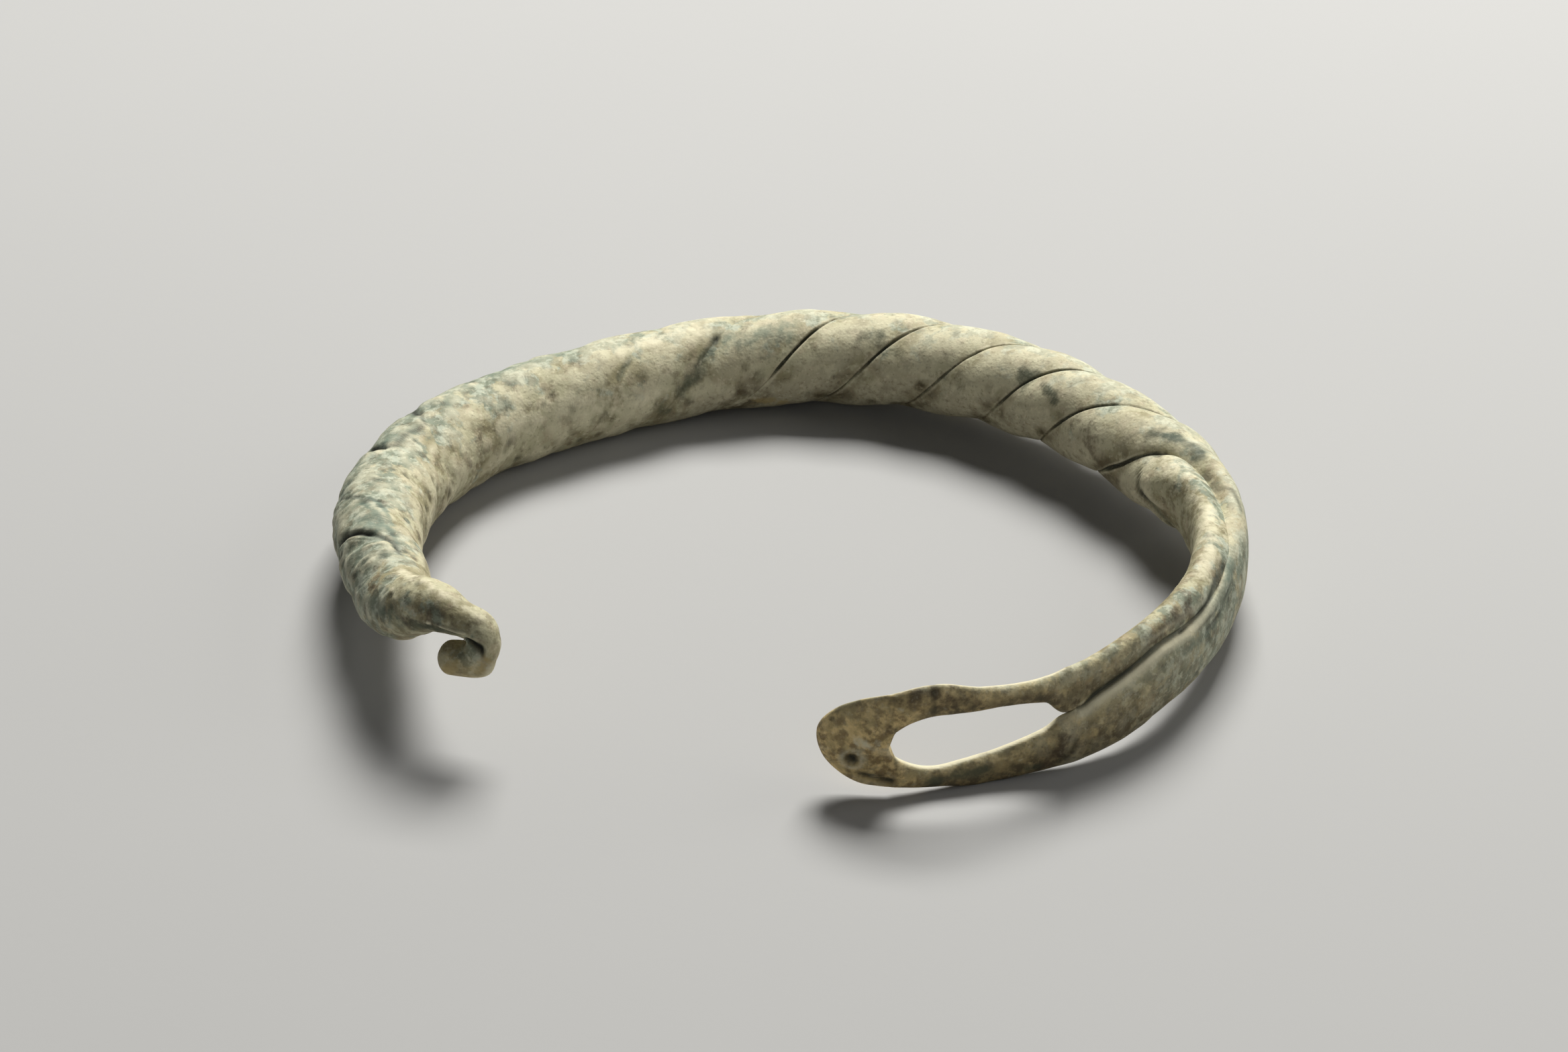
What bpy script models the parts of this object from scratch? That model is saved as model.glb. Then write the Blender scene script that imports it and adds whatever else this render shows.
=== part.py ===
"""Bronze bracelet, an open ring made from one rod.

Three strands of the rod are twisted together round the back. At the right front
one strand stops as a stump and the other two run on, side by side, then part as
the lower and upper bars of an upright eye, which closes in a hammered head. At
the left front the twist ends in one smooth finger, which rises and curls back
under itself as a hook.

The ring lies flat as it rests: +Z up, the opening towards -Y, the hook at -X.
Everything below is in millimetres and degrees until the mesh is made.
"""

import math

import bmesh
import bpy
import numpy as np
from mathutils import Vector

MM = 0.001

# Centre line of the ring, from the tip of the eye round by the right and the
# back to the root of the hook: bearing from +X, distance from the ring's
# middle, height above the table.
RING_LINE = (
    (-85.6, 28.7, 4.9), (-79, 30.3, 4.7), (-70, 31.4, 4.7), (-60, 32.3, 4.8),
    (-50, 33.3, 5.4), (-41, 34.0, 6.6), (-30, 34.1, 5.9), (-20, 33.8, 5.3),
    (-10, 33.3, 5.2), (-2, 32.5, 5.2), (6, 31.2, 5.2), (14, 29.7, 5.2),
    (30, 27.5, 5.2), (55, 25.8, 4.7), (80, 24.8, 4.2), (105, 24.4, 3.85),
    (130, 25.1, 3.9), (155, 28.7, 3.95), (180, 30.85, 5.0), (194, 31.5, 6.1),
)
# The finger goes on from there: across, back to front and height, from the
# ring's middle. Its last stretch is level and turns over into the curl.
FINGER_LINE = ((-29.15, -13.8, 6.8), (-28.4, -16.4, 7.5), (-26.9, -18.8, 8.95), (-24.6, -21.3, 10.15))
CURL_TOP = (-23.05, -22.3, 9.95)
CURL_HEADING = (0.93, -0.36, 0.0)
CURL_LEAN = -0.30
CURL_RADIUS = 1.46
CURL_TAIL = 0.9

# Overall radius of the twisted rod, by bearing.
ROD_RADIUS = (
    (14, 3.70), (30, 3.75), (55, 3.83), (80, 3.86),
    (105, 3.90), (155, 3.93), (178, 3.80), (194, 3.25),
)
# Radius of the finger: at its four points, at the top of the curl, half-way
# round it and at the end.
FINGER_RADIUS = (2.95, 2.68, 2.25, 1.68, 1.32, 1.32, 1.28)
# How far the strands' centres stand off the centre line, as a share of the
# rod's radius. Wear has rounded the left side off.
STRAND_SPREAD = ((14, 0.20), (100, 0.19), (130, 0.14), (160, 0.13), (194, 0.12))
# Angle round the section of the groove between the last two strands, by
# bearing: 0 faces outwards and 90 up. It never stops turning one way.
TWIST = (
    (-15, 96), (5, 112), (14, 170), (25, 250), (45, 430), (65, 580), (90, 750), (115, 900),
    (135, 1055), (160, 1260), (185, 1480), (205, 1690), (216, 1800),
)

# The two strands that run on, from where they leave the twist to the end of
# the slot: bearing, height of the line between them, half the gap between
# them (below zero while they overlap), then how far out each one's middle is
# from the centre line, its half thickness, and its free edge's height. The
# inner strand becomes the upper bar.
BARS = (
    (16, 5.10, -3.10, -1.70, 1.70, 8.6, 1.20, 1.70, 1.50),
    (6, 5.45, -2.85, -1.60, 1.50, 8.6, 1.25, 1.60, 1.40),
    (-2, 5.60, -2.80, -1.25, 1.30, 8.7, 1.15, 1.35, 1.40),
    (-10, 5.85, -2.45, -1.00, 1.20, 8.9, 1.05, 1.20, 1.30),
    (-20, 6.35, -1.35, -0.55, 1.25, 9.2, 0.60, 1.35, 1.20),
    (-30, 6.80, -0.55, -0.35, 1.12, 9.22, 0.35, 1.28, 1.40),
    (-38, 7.05, -0.45, -0.38, 0.98, 9.20, 0.38, 1.12, 1.44),
    (-44, 6.25, -0.45, -0.30, 0.90, 8.92, 0.45, 1.02, 1.04),
    (-48, 5.55, -0.45, -0.22, 0.82, 8.60, 0.50, 0.96, 0.72),
    (-51.5, 4.80, -0.40, -0.10, 0.76, 8.48, 0.45, 0.90, 0.50),
    (-56, 5.10, 1.33, 0.30, 0.62, 8.48, 0.10, 0.78, 0.26),
    (-64, 4.80, 2.30, 0.58, 0.53, 8.98, -0.28, 0.61, 0.02),
    (-70, 4.45, 2.40, 0.20, 0.52, 9.5, -0.20, 0.56, 0.40),
    (-76.5, 4.40, 2.10, 0.00, 0.58, 8.7, 0.00, 0.58, 0.70),
)
SLOT_END = 4.0  # length over which the slot's closed end rounds off
BAR_SQUARE = 2.2  # 2 would make the bars' sections ellipses; higher is squarer
SPLIT_BEARING = -51.5
MERGE_BEARING = -76.5
CROWDING = 0.40  # how much closer together than elsewhere the columns are at the grooves
PARTING = (15.0, -3.0)  # bearings between which the three strands become two bars
HEAD_ROUND = 4.0  # length over which the head's outline closes
HEAD_EDGE = 1.0  # the same for its thickness

# Two small flats: the underside that the bracelet lies on, and the outer face
# of the head.
GROUND_FLAT = 0.14
HEAD_FLAT = 0.16
HEAD_FLAT_AT = 4.0  # along the centre line from the tip

# Mesh: columns round a strand, columns across a slot wall, length of a row.
STRAND_COLUMNS = 8
WALL_COLUMNS = 3
ROW = 1.4
CURL_ROW = 0.6


# --- Curves -----------------------------------------------------------------

def cubic(x, y, at):
    """Natural cubic spline through y at x."""
    x, y, at = (np.asarray(v, float) for v in (x, y, at))
    if y.ndim == 1:
        return cubic(x, y[:, None], at)[:, 0]
    gap = np.diff(x)
    slope = np.diff(y, axis=0) / gap[:, None]
    matrix = np.eye(len(x))
    inner = np.arange(1, len(x) - 1)
    matrix[inner, inner - 1] = gap[:-1]
    matrix[inner, inner] = 2 * (gap[:-1] + gap[1:])
    matrix[inner, inner + 1] = gap[1:]
    right = np.zeros_like(y)
    right[1:-1] = 3 * np.diff(slope, axis=0)
    bend = np.linalg.solve(matrix, right)
    k = np.clip(np.searchsorted(x, at, side="right") - 1, 0, len(x) - 2)
    t = (at - x[k])[:, None]
    wide = gap[k][:, None]
    linear = slope[k] - wide * (2 * bend[k] + bend[k + 1]) / 3
    return y[k] + t * (linear + t * (bend[k] + t * (bend[k + 1] - bend[k]) / (3 * wide)))


def steady(x, y, at):
    """Cubic through y at x that never overshoots, and stays level beyond the ends."""
    x, y, at = (np.asarray(v, float) for v in (x, y, at))
    if y.ndim == 1:
        return steady(x, y[:, None], at)[:, 0]
    at = np.clip(at, x[0], x[-1])
    gap = np.diff(x)[:, None]
    slope = np.diff(y, axis=0) / gap
    tangent = np.zeros_like(y)
    before, after = slope[:-1], slope[1:]
    same = before * after > 0
    left, right = gap[:-1] + 2 * gap[1:], 2 * gap[:-1] + gap[1:]
    with np.errstate(divide="ignore", invalid="ignore"):
        mean = (left + right) / (left / before + right / after)
    tangent[1:-1] = np.where(same, mean, 0.0)
    tangent[0], tangent[-1] = slope[0], slope[-1]
    k = np.clip(np.searchsorted(x, at, side="right") - 1, 0, len(x) - 2)
    wide = gap[k]
    t = (at - x[k])[:, None] / wide
    start = y[k] * (1 + 2 * t) * (1 - t) ** 2 + wide * tangent[k] * t * (1 - t) ** 2
    return start + y[k + 1] * t * t * (3 - 2 * t) + wide * tangent[k + 1] * t * t * (t - 1)


def ease(t):
    """0 to 1 with a soft start and a soft end."""
    t = np.clip(t, 0.0, 1.0)
    return t * t * (3 - 2 * t)


def unit(v):
    return v / np.linalg.norm(v, axis=-1, keepdims=True)


# --- The centre line --------------------------------------------------------

def line_knots():
    """Points of the centre line, from the eye's tip to the end of the curl."""
    points = []
    for bearing, distance, height in RING_LINE:
        a = math.radians(bearing)
        points.append((distance * math.cos(a), distance * math.sin(a), height))
    points += FINGER_LINE
    heading = unit(np.array(CURL_HEADING))
    down = np.array((0.0, CURL_LEAN, -1.0))
    down = unit(down - down.dot(heading) * heading)
    for a in np.radians(np.arange(0, 181, 30)):
        turn = math.sin(a) * heading + (1 - math.cos(a)) * down
        points.append(tuple(np.array(CURL_TOP) + CURL_RADIUS * turn))
    points.append(tuple(np.array(points[-1]) - CURL_TAIL * heading + 0.1 * down))
    return np.array(points)


KNOTS = line_knots()
ALONG = np.concatenate([[0.0], np.cumsum(np.linalg.norm(np.diff(KNOTS, axis=0), axis=1))])
FINGER_START = len(RING_LINE)
CURL_START = FINGER_START + len(FINGER_LINE)
LENGTH = ALONG[-1]


def at_bearing(bearing):
    """How far along the centre line a bearing on the ring is."""
    bearings = [row[0] for row in RING_LINE]
    return cubic(bearings, ALONG[: len(RING_LINE)], np.atleast_1d(bearing))


def axes(s):
    """The centre line at s: the point, and the outward and upward directions across it.

    Outwards is level and to the right of travel. Round the curl the heading is
    held, so that the section doesn't spin."""
    point = cubic(ALONG, KNOTS, s)
    travel = unit(cubic(ALONG, KNOTS, s + 1e-3) - cubic(ALONG, KNOTS, s - 1e-3))
    level = travel * (1, 1, 0)
    held = unit(np.array(CURL_HEADING))
    near = ease((s - ALONG[CURL_START] + 4.0) / 3.5)[:, None]
    level = np.where(near < 1, unit((1 - near) * level + near * held), held)
    out = np.stack([level[:, 1], -level[:, 0], 0 * s], axis=-1)
    out = unit(out - (out * travel).sum(1)[:, None] * travel)
    return point, out, np.cross(out, travel)


# --- Sections ---------------------------------------------------------------

def twist_angle(s):
    """Angle of the groove that leads the twist, in radians."""
    bearing, angle = np.array(TWIST).T
    along = at_bearing(bearing)
    past = bearing > RING_LINE[-1][0]
    along[past] = ALONG[FINGER_START - 1] + 0.55 * (bearing[past] - RING_LINE[-1][0])
    return np.radians(steady(along, angle, s))


def rod_reach(s, angle):
    """Radius of the twisted rod: three round strands, which run into one finger."""
    along = at_bearing([row[0] for row in ROD_RADIUS])
    curl = ALONG[CURL_START] + np.array((0.0, 0.5, 1.0)) * math.pi * CURL_RADIUS
    along = np.concatenate([along, ALONG[FINGER_START:CURL_START], curl])
    radius = steady(along, [row[1] for row in ROD_RADIUS] + list(FINGER_RADIUS), s)[:, None]
    spread = steady(at_bearing([row[0] for row in STRAND_SPREAD]), [row[1] for row in STRAND_SPREAD], s)
    spread = (spread * (1 - ease((s - ALONG[FINGER_START] - 0.5) / 3.0)))[:, None]
    strand = np.radians(120)
    off = (angle - twist_angle(s)[:, None]) % strand - strand / 2
    offset, round_ = spread * radius, (1 - spread) * radius
    return offset * np.cos(off) + np.sqrt(round_**2 - (offset * np.sin(off)) ** 2)


def bars(s):
    """The two bars' sections at s, each as (middle out, middle up, half thickness, half height)."""
    rows = np.array(BARS)[::-1]
    line, gap, n1, w1, top, n2, w2, bottom = steady(at_bearing(rows[:, 0]), rows[:, 1:], s).T
    start = at_bearing(MERGE_BEARING)
    closing = np.clip(1 - (s - start) / SLOT_END, 0, 1)
    gap = gap * np.sqrt(1 - closing**2)
    height = axes(s)[0][:, 2]
    upper = (n1, (top + line + gap) / 2 - height, w1, (top - line - gap) / 2)
    lower = (n2, (bottom + line - gap) / 2 - height, w2, (line - gap - bottom) / 2)
    return upper, lower


def squircle(turn, power=BAR_SQUARE):
    """Unit superellipse at each angle of turn."""
    c, s = np.cos(turn), np.sin(turn)
    return np.sign(c) * np.abs(c) ** (2 / power), np.sign(s) * np.abs(s) ** (2 / power)


def crossings(bar, other):
    """Where round a bar its outline comes out of the other bar, and where it goes back in."""
    n, u, w, h = bar
    n2, u2, w2, h2 = (np.asarray(v)[:, None] for v in other)
    towards = np.arctan2((other[1] - u) / h, (other[0] - n) / w)
    turn = towards[:, None] + np.radians(np.linspace(0, 360, 721))
    x, y = squircle(turn)
    x = n[:, None] + w[:, None] * x
    y = u[:, None] + h[:, None] * y
    over = np.abs((x - n2) / w2) ** BAR_SQUARE + np.abs((y - u2) / h2) ** BAR_SQUARE - 1
    row = np.arange(len(turn))
    found = []
    for change in ((over[:, :-1] <= 0) & (over[:, 1:] > 0), (over[:, :-1] > 0) & (over[:, 1:] <= 0)):
        k = change.argmax(axis=1) if not found else change.shape[1] - 1 - change[:, ::-1].argmax(axis=1)
        share = over[row, k] / (over[row, k] - over[row, k + 1])
        found.append(turn[row, k] + share * (turn[row, k + 1] - turn[row, k]))
    return found


def joined_bars(s, columns):
    """Offsets of the two bars' outline while they overlap, from the top groove round by the inner side."""
    upper, lower = bars(s)
    parts = []
    for bar, other, count in ((upper, lower, 2 * columns), (lower, upper, columns)):
        start, end = crossings(bar, other)
        turn = start[:, None] + (end - start)[:, None] * np.arange(count) / count
        x, y = squircle(turn)
        parts.append((bar[0][:, None] + bar[2][:, None] * x, bar[1][:, None] + bar[3][:, None] * y))
    return np.hstack([parts[0][0], parts[1][0]]), np.hstack([parts[0][1], parts[1][1]])


def column_turns(columns):
    """Angles of a ring's columns from the leading groove, closer together at the three grooves."""
    share = np.arange(3 * columns) / columns
    return 2 * math.pi / 3 * (share - CROWDING / (2 * math.pi) * np.sin(2 * math.pi * share))


def body_section(s, columns):
    """Offsets out and up of the body's rings, from the split to the end of the curl.

    The columns turn with the three strands. Where the strands part, each
    column's angle and reach pass over to the outline of the two bars."""
    angle = twist_angle(s)[:, None] + column_turns(columns)
    reach = rod_reach(s, angle)
    start, end = at_bearing(PARTING[0])[0], at_bearing(PARTING[1])[0]
    near = s < start
    if near.any():
        x, y = joined_bars(s[near], columns)
        turned = np.unwrap(np.arctan2(y, x), axis=1)
        lap = np.round((angle[near] - turned).mean(axis=1) / (2 * math.pi)) * 2 * math.pi
        share = ease((start - s[near]) / (start - end))[:, None]
        angle[near] += share * (turned + lap[:, None] - angle[near])
        reach[near] += share * (np.hypot(x, y) - reach[near])
    return reach * np.cos(angle), reach * np.sin(angle)


def head_section(s, columns):
    """Offsets of the head's rings, from its tip to the slot: upper part first, then the lower."""
    rows = np.array(BARS)[::-1]
    start = at_bearing(MERGE_BEARING)
    line, _, _, thick, top, _, _, bottom = steady(at_bearing(rows[:, 0]), rows[:, 1:], start)[0]
    slope = np.minimum(s - start, 0) * 0.20
    closed = np.sqrt(1 - np.clip(1 - s / HEAD_ROUND, 0, 1) ** 2)
    edge = np.sqrt(1 - np.clip(1 - s / HEAD_EDGE, 0, 1) ** 2)
    height = axes(s)[0][:, 2]
    middle = line + 0.35 * (1 - closed)
    turn = np.concatenate([
        math.pi * np.arange(2 * columns) / (2 * columns),
        math.pi + math.pi * np.arange(columns) / columns,
    ])
    x, y = squircle(turn)
    tall = np.where(y > 0, (top - line + slope)[:, None], (line - bottom + slope * 0.5)[:, None])
    return thick * edge[:, None] * x, (middle - height)[:, None] + tall * closed[:, None] * y


def bar_sections(s, columns, wall):
    """Offsets of the upper and the lower bar's rings, from the slot's closed end to the split.

    Each ring is the outer face, from one groove to the other, then the slot's
    wall back. At both ends the two walls lie on one straight line, where the
    bars join."""
    ends = np.array([at_bearing(MERGE_BEARING)[0], at_bearing(SPLIT_BEARING)[0]])
    head = [v[0] for v in head_section(ends[:1], columns)]
    body = [v[0] for v in body_section(ends[1:], columns)]
    from_head = ease((s - ends[0]) / 0.6)[:, None]
    from_body = ease((ends[1] - s) / 2.4)[:, None]
    outer = (np.arange(0, 2 * columns + 1), np.arange(2 * columns, 3 * columns + 1) % (3 * columns))
    sweeps = (
        (np.linspace(-45, 225, 2 * columns + 1), np.linspace(225, 315, wall + 1)[1:-1]),
        (np.linspace(135, 405, columns + 1), np.linspace(45, 135, wall + 1)[1:-1]),
    )
    rings = []
    for bar, index, (face, back) in zip(bars(s), outer, sweeps):
        n, u, w, h = (np.asarray(v)[:, None] for v in bar)
        share = np.linspace(0, 1, wall + 1)[1:-1]
        ring = []
        for axis in (0, 1):
            middle, half = ((n, w), (u, h))[axis]
            parts = []
            for turn in (face, back):
                parts.append(middle + half * squircle(np.radians(turn))[axis])
            ends_joined = []
            for joined in (head, body):
                edge = joined[axis][index]
                line = edge[-1] + (edge[0] - edge[-1]) * share
                ends_joined.append(np.concatenate([edge, line]))
            free = np.hstack(parts)
            held = (1 - from_head) * ends_joined[0] + from_head * free
            ring.append((1 - from_body) * ends_joined[1] + from_body * held)
        rings.append(ring)
    return rings


# --- Mesh -------------------------------------------------------------------

def placed(s, x, y):
    """Rings of points from offsets out and up across the centre line."""
    point, out, up = axes(s)
    return point[:, None] + x[..., None] * out[:, None] + y[..., None] * up[:, None]


def curl_end(s, columns):
    """Rings that round off the end of the curl, shrinking to a point."""
    last = np.array([LENGTH])
    ring = placed(last, *body_section(last, columns))[0]
    centre = ring.mean(axis=0)
    ahead = unit(cubic(ALONG, KNOTS, last) - cubic(ALONG, KNOTS, last - 1e-3))[0]
    radius = np.linalg.norm(ring - centre, axis=1).mean()
    rings = []
    for a in s:
        rings.append(centre + (ring - centre) * math.cos(a) + ahead * radius * 0.8 * math.sin(a))
    return np.array(rings), centre + ahead * radius * 0.8


def add_tube(bm, rings):
    """Faces between each ring of points and the next."""
    verts = [[bm.verts.new(Vector(p) * MM) for p in ring] for ring in rings]
    count = len(verts[0])
    for near, far in zip(verts, verts[1:]):
        for j in range(count):
            k = (j + 1) % count
            bm.faces.new((near[j], far[j], far[k], near[k]))
    return verts


def add_tip(bm, ring, tip, forward):
    """A fan of faces from the last ring to a point."""
    point = bm.verts.new(Vector(tip) * MM)
    for a, b in zip(ring, ring[1:] + ring[:1]):
        bm.faces.new((a, point, b) if forward else (b, point, a))


def rows_between(start, end, step):
    return np.linspace(start, end, max(2, round((end - start) / step) + 1))


def bracelet_mesh():
    """The whole bracelet as one closed mesh."""
    merge, split = at_bearing(MERGE_BEARING)[0], at_bearing(SPLIT_BEARING)[0]
    curl = ALONG[CURL_START] - 1.5
    body_rows = np.concatenate([rows_between(split, curl, ROW)[:-1], rows_between(curl, LENGTH, CURL_ROW)])
    head_rows = HEAD_ROUND * (1 - np.cos(np.radians(np.arange(14, 91, 15))))
    head_rows = np.append(head_rows, merge)
    fillet = merge + SLOT_END * (1 - np.cos(np.radians(np.arange(0, 76, 15))))
    plain_rows = rows_between(fillet[-1], split - 2.4, ROW)[1:]
    bar_rows = np.concatenate([fillet, plain_rows, split - np.array((1.6, 0.8, 0))])

    bm = bmesh.new()
    body = add_tube(bm, placed(body_rows, *body_section(body_rows, STRAND_COLUMNS)))
    rings, tip = curl_end(np.radians((0, 30, 55, 75)), STRAND_COLUMNS)
    cap = add_tube(bm, rings)
    add_tip(bm, cap[-1], tip, forward=True)
    head = add_tube(bm, placed(head_rows, *head_section(head_rows, STRAND_COLUMNS)))
    add_tip(bm, head[0], placed(np.array([0.0]), *head_section(np.array([0.0]), 1))[0, 0], forward=False)
    for x, y in bar_sections(bar_rows, STRAND_COLUMNS, WALL_COLUMNS):
        add_tube(bm, placed(bar_rows, x, y))
    bmesh.ops.remove_doubles(bm, verts=bm.verts, dist=1e-7)
    bmesh.ops.triangulate(bm, faces=bm.faces)
    bmesh.ops.recalc_face_normals(bm, faces=bm.faces)
    return bm


def box(name, size, collection):
    """A box with its top face's middle at the object's origin."""
    mesh = bpy.data.meshes.new(name)
    bm = bmesh.new()
    bmesh.ops.create_cube(bm, size=size)
    bmesh.ops.translate(bm, verts=bm.verts, vec=(0, 0, -size / 2))
    bm.to_mesh(mesh)
    bm.free()
    cutter = bpy.data.objects.new(name, mesh)
    cutter.hide_render = True
    cutter.display_type = "WIRE"
    collection.objects.link(cutter)
    return cutter


def cut(target, cutter):
    modifier = target.modifiers.new(cutter.name, "BOOLEAN")
    modifier.operation = "DIFFERENCE"
    modifier.solver = "EXACT"
    modifier.object = cutter


def bronze():
    """Bronze under an old pale green crust."""
    material = bpy.data.materials.new("patinated_bronze")
    material.use_nodes = True
    shader = material.node_tree.nodes["Principled BSDF"]
    shader.inputs["Base Color"].default_value = (0.42, 0.40, 0.31, 1.0)
    shader.inputs["Roughness"].default_value = 0.75
    shader.inputs["Metallic"].default_value = 0.15
    return material


def main():
    for obj in list(bpy.data.objects):
        bpy.data.objects.remove(obj, do_unlink=True)
    collection = bpy.data.collections.new("Bronze bracelet")
    cutters = bpy.data.collections.new("Bronze bracelet cutters")
    for made in (collection, cutters):
        bpy.context.scene.collection.children.link(made)
    cutters.hide_render = True

    bm = bracelet_mesh()
    corners = np.array([v.co for v in bm.verts])
    low, high = corners.min(axis=0), corners.max(axis=0)
    shift = Vector((-(low[0] + high[0]) / 2, -(low[1] + high[1]) / 2, -low[2] - GROUND_FLAT * MM))
    bmesh.ops.translate(bm, verts=bm.verts, vec=shift)
    mesh = bpy.data.meshes.new("bracelet")
    bm.to_mesh(mesh)
    bm.free()
    mesh.materials.append(bronze())
    mesh.shade_smooth()
    mesh.set_sharp_from_angle(angle=math.radians(50))
    bracelet = bpy.data.objects.new("bracelet", mesh)
    collection.objects.link(bracelet)

    ground = box("ground_flat_cutter", 80 * MM, cutters)
    cut(bracelet, ground)
    point, out, _ = (Vector(v[0]) for v in axes(np.array([HEAD_FLAT_AT])))
    face = box("head_flat_cutter", 12 * MM, cutters)
    half = BARS[-1][4]
    face.location = (point + out * (half - HEAD_FLAT)) * MM + shift
    face.rotation_mode = "QUATERNION"
    face.rotation_quaternion = (-out).to_track_quat("Z", "Y")
    cut(bracelet, face)


main()
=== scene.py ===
"""Looks of the bronze bracelet: its worn, crusted surface, its patina and the stage round it.

The bracelet is one rod of three strands twisted together, with a curled hook at
one end and a long eye at the other. Its fine surface is worked out here in
millimetres and degrees, as a grid of rings along a centre line, and laid over
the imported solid.
"""

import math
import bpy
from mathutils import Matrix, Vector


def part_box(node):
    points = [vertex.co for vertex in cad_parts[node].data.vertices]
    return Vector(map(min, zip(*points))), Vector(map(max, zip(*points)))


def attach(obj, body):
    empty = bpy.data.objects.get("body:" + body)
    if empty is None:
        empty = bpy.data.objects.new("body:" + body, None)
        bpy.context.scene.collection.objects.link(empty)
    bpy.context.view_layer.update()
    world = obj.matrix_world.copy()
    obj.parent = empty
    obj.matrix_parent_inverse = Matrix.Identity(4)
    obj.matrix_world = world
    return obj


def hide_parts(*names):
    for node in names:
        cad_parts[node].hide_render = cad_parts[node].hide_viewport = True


bl_info = {
    "name": "Ancient twisted bronze bracelet",
    "version": (1, 0, 0),
    "blender": (4, 5, 0),
    "location": "3D View > Sidebar > Bracelet",
    "description": "Builds a crusted bronze bracelet with a hook and an eye, its patina and its stage",
    "category": "Add Mesh",
}

import bpy
import numpy as np
from mathutils import Vector

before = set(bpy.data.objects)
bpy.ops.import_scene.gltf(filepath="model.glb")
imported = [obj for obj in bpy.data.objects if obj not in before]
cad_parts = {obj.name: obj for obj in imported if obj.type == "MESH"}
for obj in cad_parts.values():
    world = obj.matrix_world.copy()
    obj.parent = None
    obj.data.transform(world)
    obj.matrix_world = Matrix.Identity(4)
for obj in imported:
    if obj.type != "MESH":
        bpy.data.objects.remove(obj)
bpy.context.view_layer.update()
NODE_BOX = [list(corner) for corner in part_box("bracelet")]

MM = 0.001

# --- Driving dimensions -------------------------------------------------------

# Centre line of the ring, from the tip of the eye round by the right and the
# back to the root of the hook: bearing from +X, distance from the ring's
# middle, height above the table.
RING_LINE = (
    (-85.6, 28.7, 4.9), (-79, 30.3, 4.7), (-70, 31.4, 4.7), (-60, 32.3, 4.8),
    (-50, 33.3, 5.4), (-41, 34.0, 6.6), (-30, 34.1, 5.9), (-20, 33.8, 5.3),
    (-10, 33.3, 5.2), (-2, 32.5, 5.2), (6, 31.2, 5.2), (14, 29.7, 5.2),
    (30, 27.5, 5.2), (55, 25.8, 4.7), (80, 24.8, 4.2), (105, 24.4, 3.85),
    (130, 25.1, 3.9), (155, 28.7, 3.95), (180, 30.85, 5.0), (194, 31.5, 6.1),
)
# The finger goes on from there: across, back to front and height, from the
# ring's middle. Its last stretch is level and turns over into the curl.
FINGER_LINE = ((-29.15, -13.8, 6.8), (-28.4, -16.4, 7.5), (-26.9, -18.8, 8.95), (-24.6, -21.3, 10.15))
CURL_TOP = (-23.05, -22.3, 9.95)
CURL_HEADING = (0.93, -0.36, 0.0)
CURL_LEAN = -0.30  # to the back, for each millimetre down
CURL_RADIUS = 1.46
CURL_STEP = 30  # degrees between its points
CURL_TAIL = 0.9  # length of the straight piece after its half turn
CURL_DROP = 0.1  # and how far that piece goes on down
HELD_BEFORE = 4.0  # the section's heading starts to be held this far before the curl
HELD_OVER = 3.5  # and is held fully after this length

# Overall radius of the twisted rod, by bearing.
ROD_RADIUS = (
    (14, 3.70), (30, 3.75), (55, 3.83), (80, 3.86),
    (105, 3.90), (155, 3.93), (178, 3.80), (194, 3.25),
)
# Radius of the finger: at its four points, at the top of the curl, half-way
# round it and at the end.
FINGER_RADIUS = (2.95, 2.68, 2.25, 1.68, 1.32, 1.32, 1.28)
# How far the strands' centres stand off the centre line, as a share of the
# rod's radius. Wear has rounded the left side off.
STRAND_SPREAD = ((14, 0.20), (100, 0.19), (130, 0.14), (160, 0.13), (194, 0.12))
FADE_FROM = 0.5  # this far along the finger the strands start to fade out
FADE_OVER = 3.0  # and after this length they are gone
# Angle round the section of the groove between the last two strands, by
# bearing: 0 faces outwards and 90 up. It never stops turning one way.
TWIST = (
    (-15, 96), (5, 112), (14, 170), (25, 250), (45, 430), (65, 580), (90, 750), (115, 900),
    (135, 1055), (160, 1260), (185, 1480), (205, 1690), (216, 1800),
)
FINGER_STEP = 0.55  # millimetres of the finger for each degree past the ring's last bearing

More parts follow.
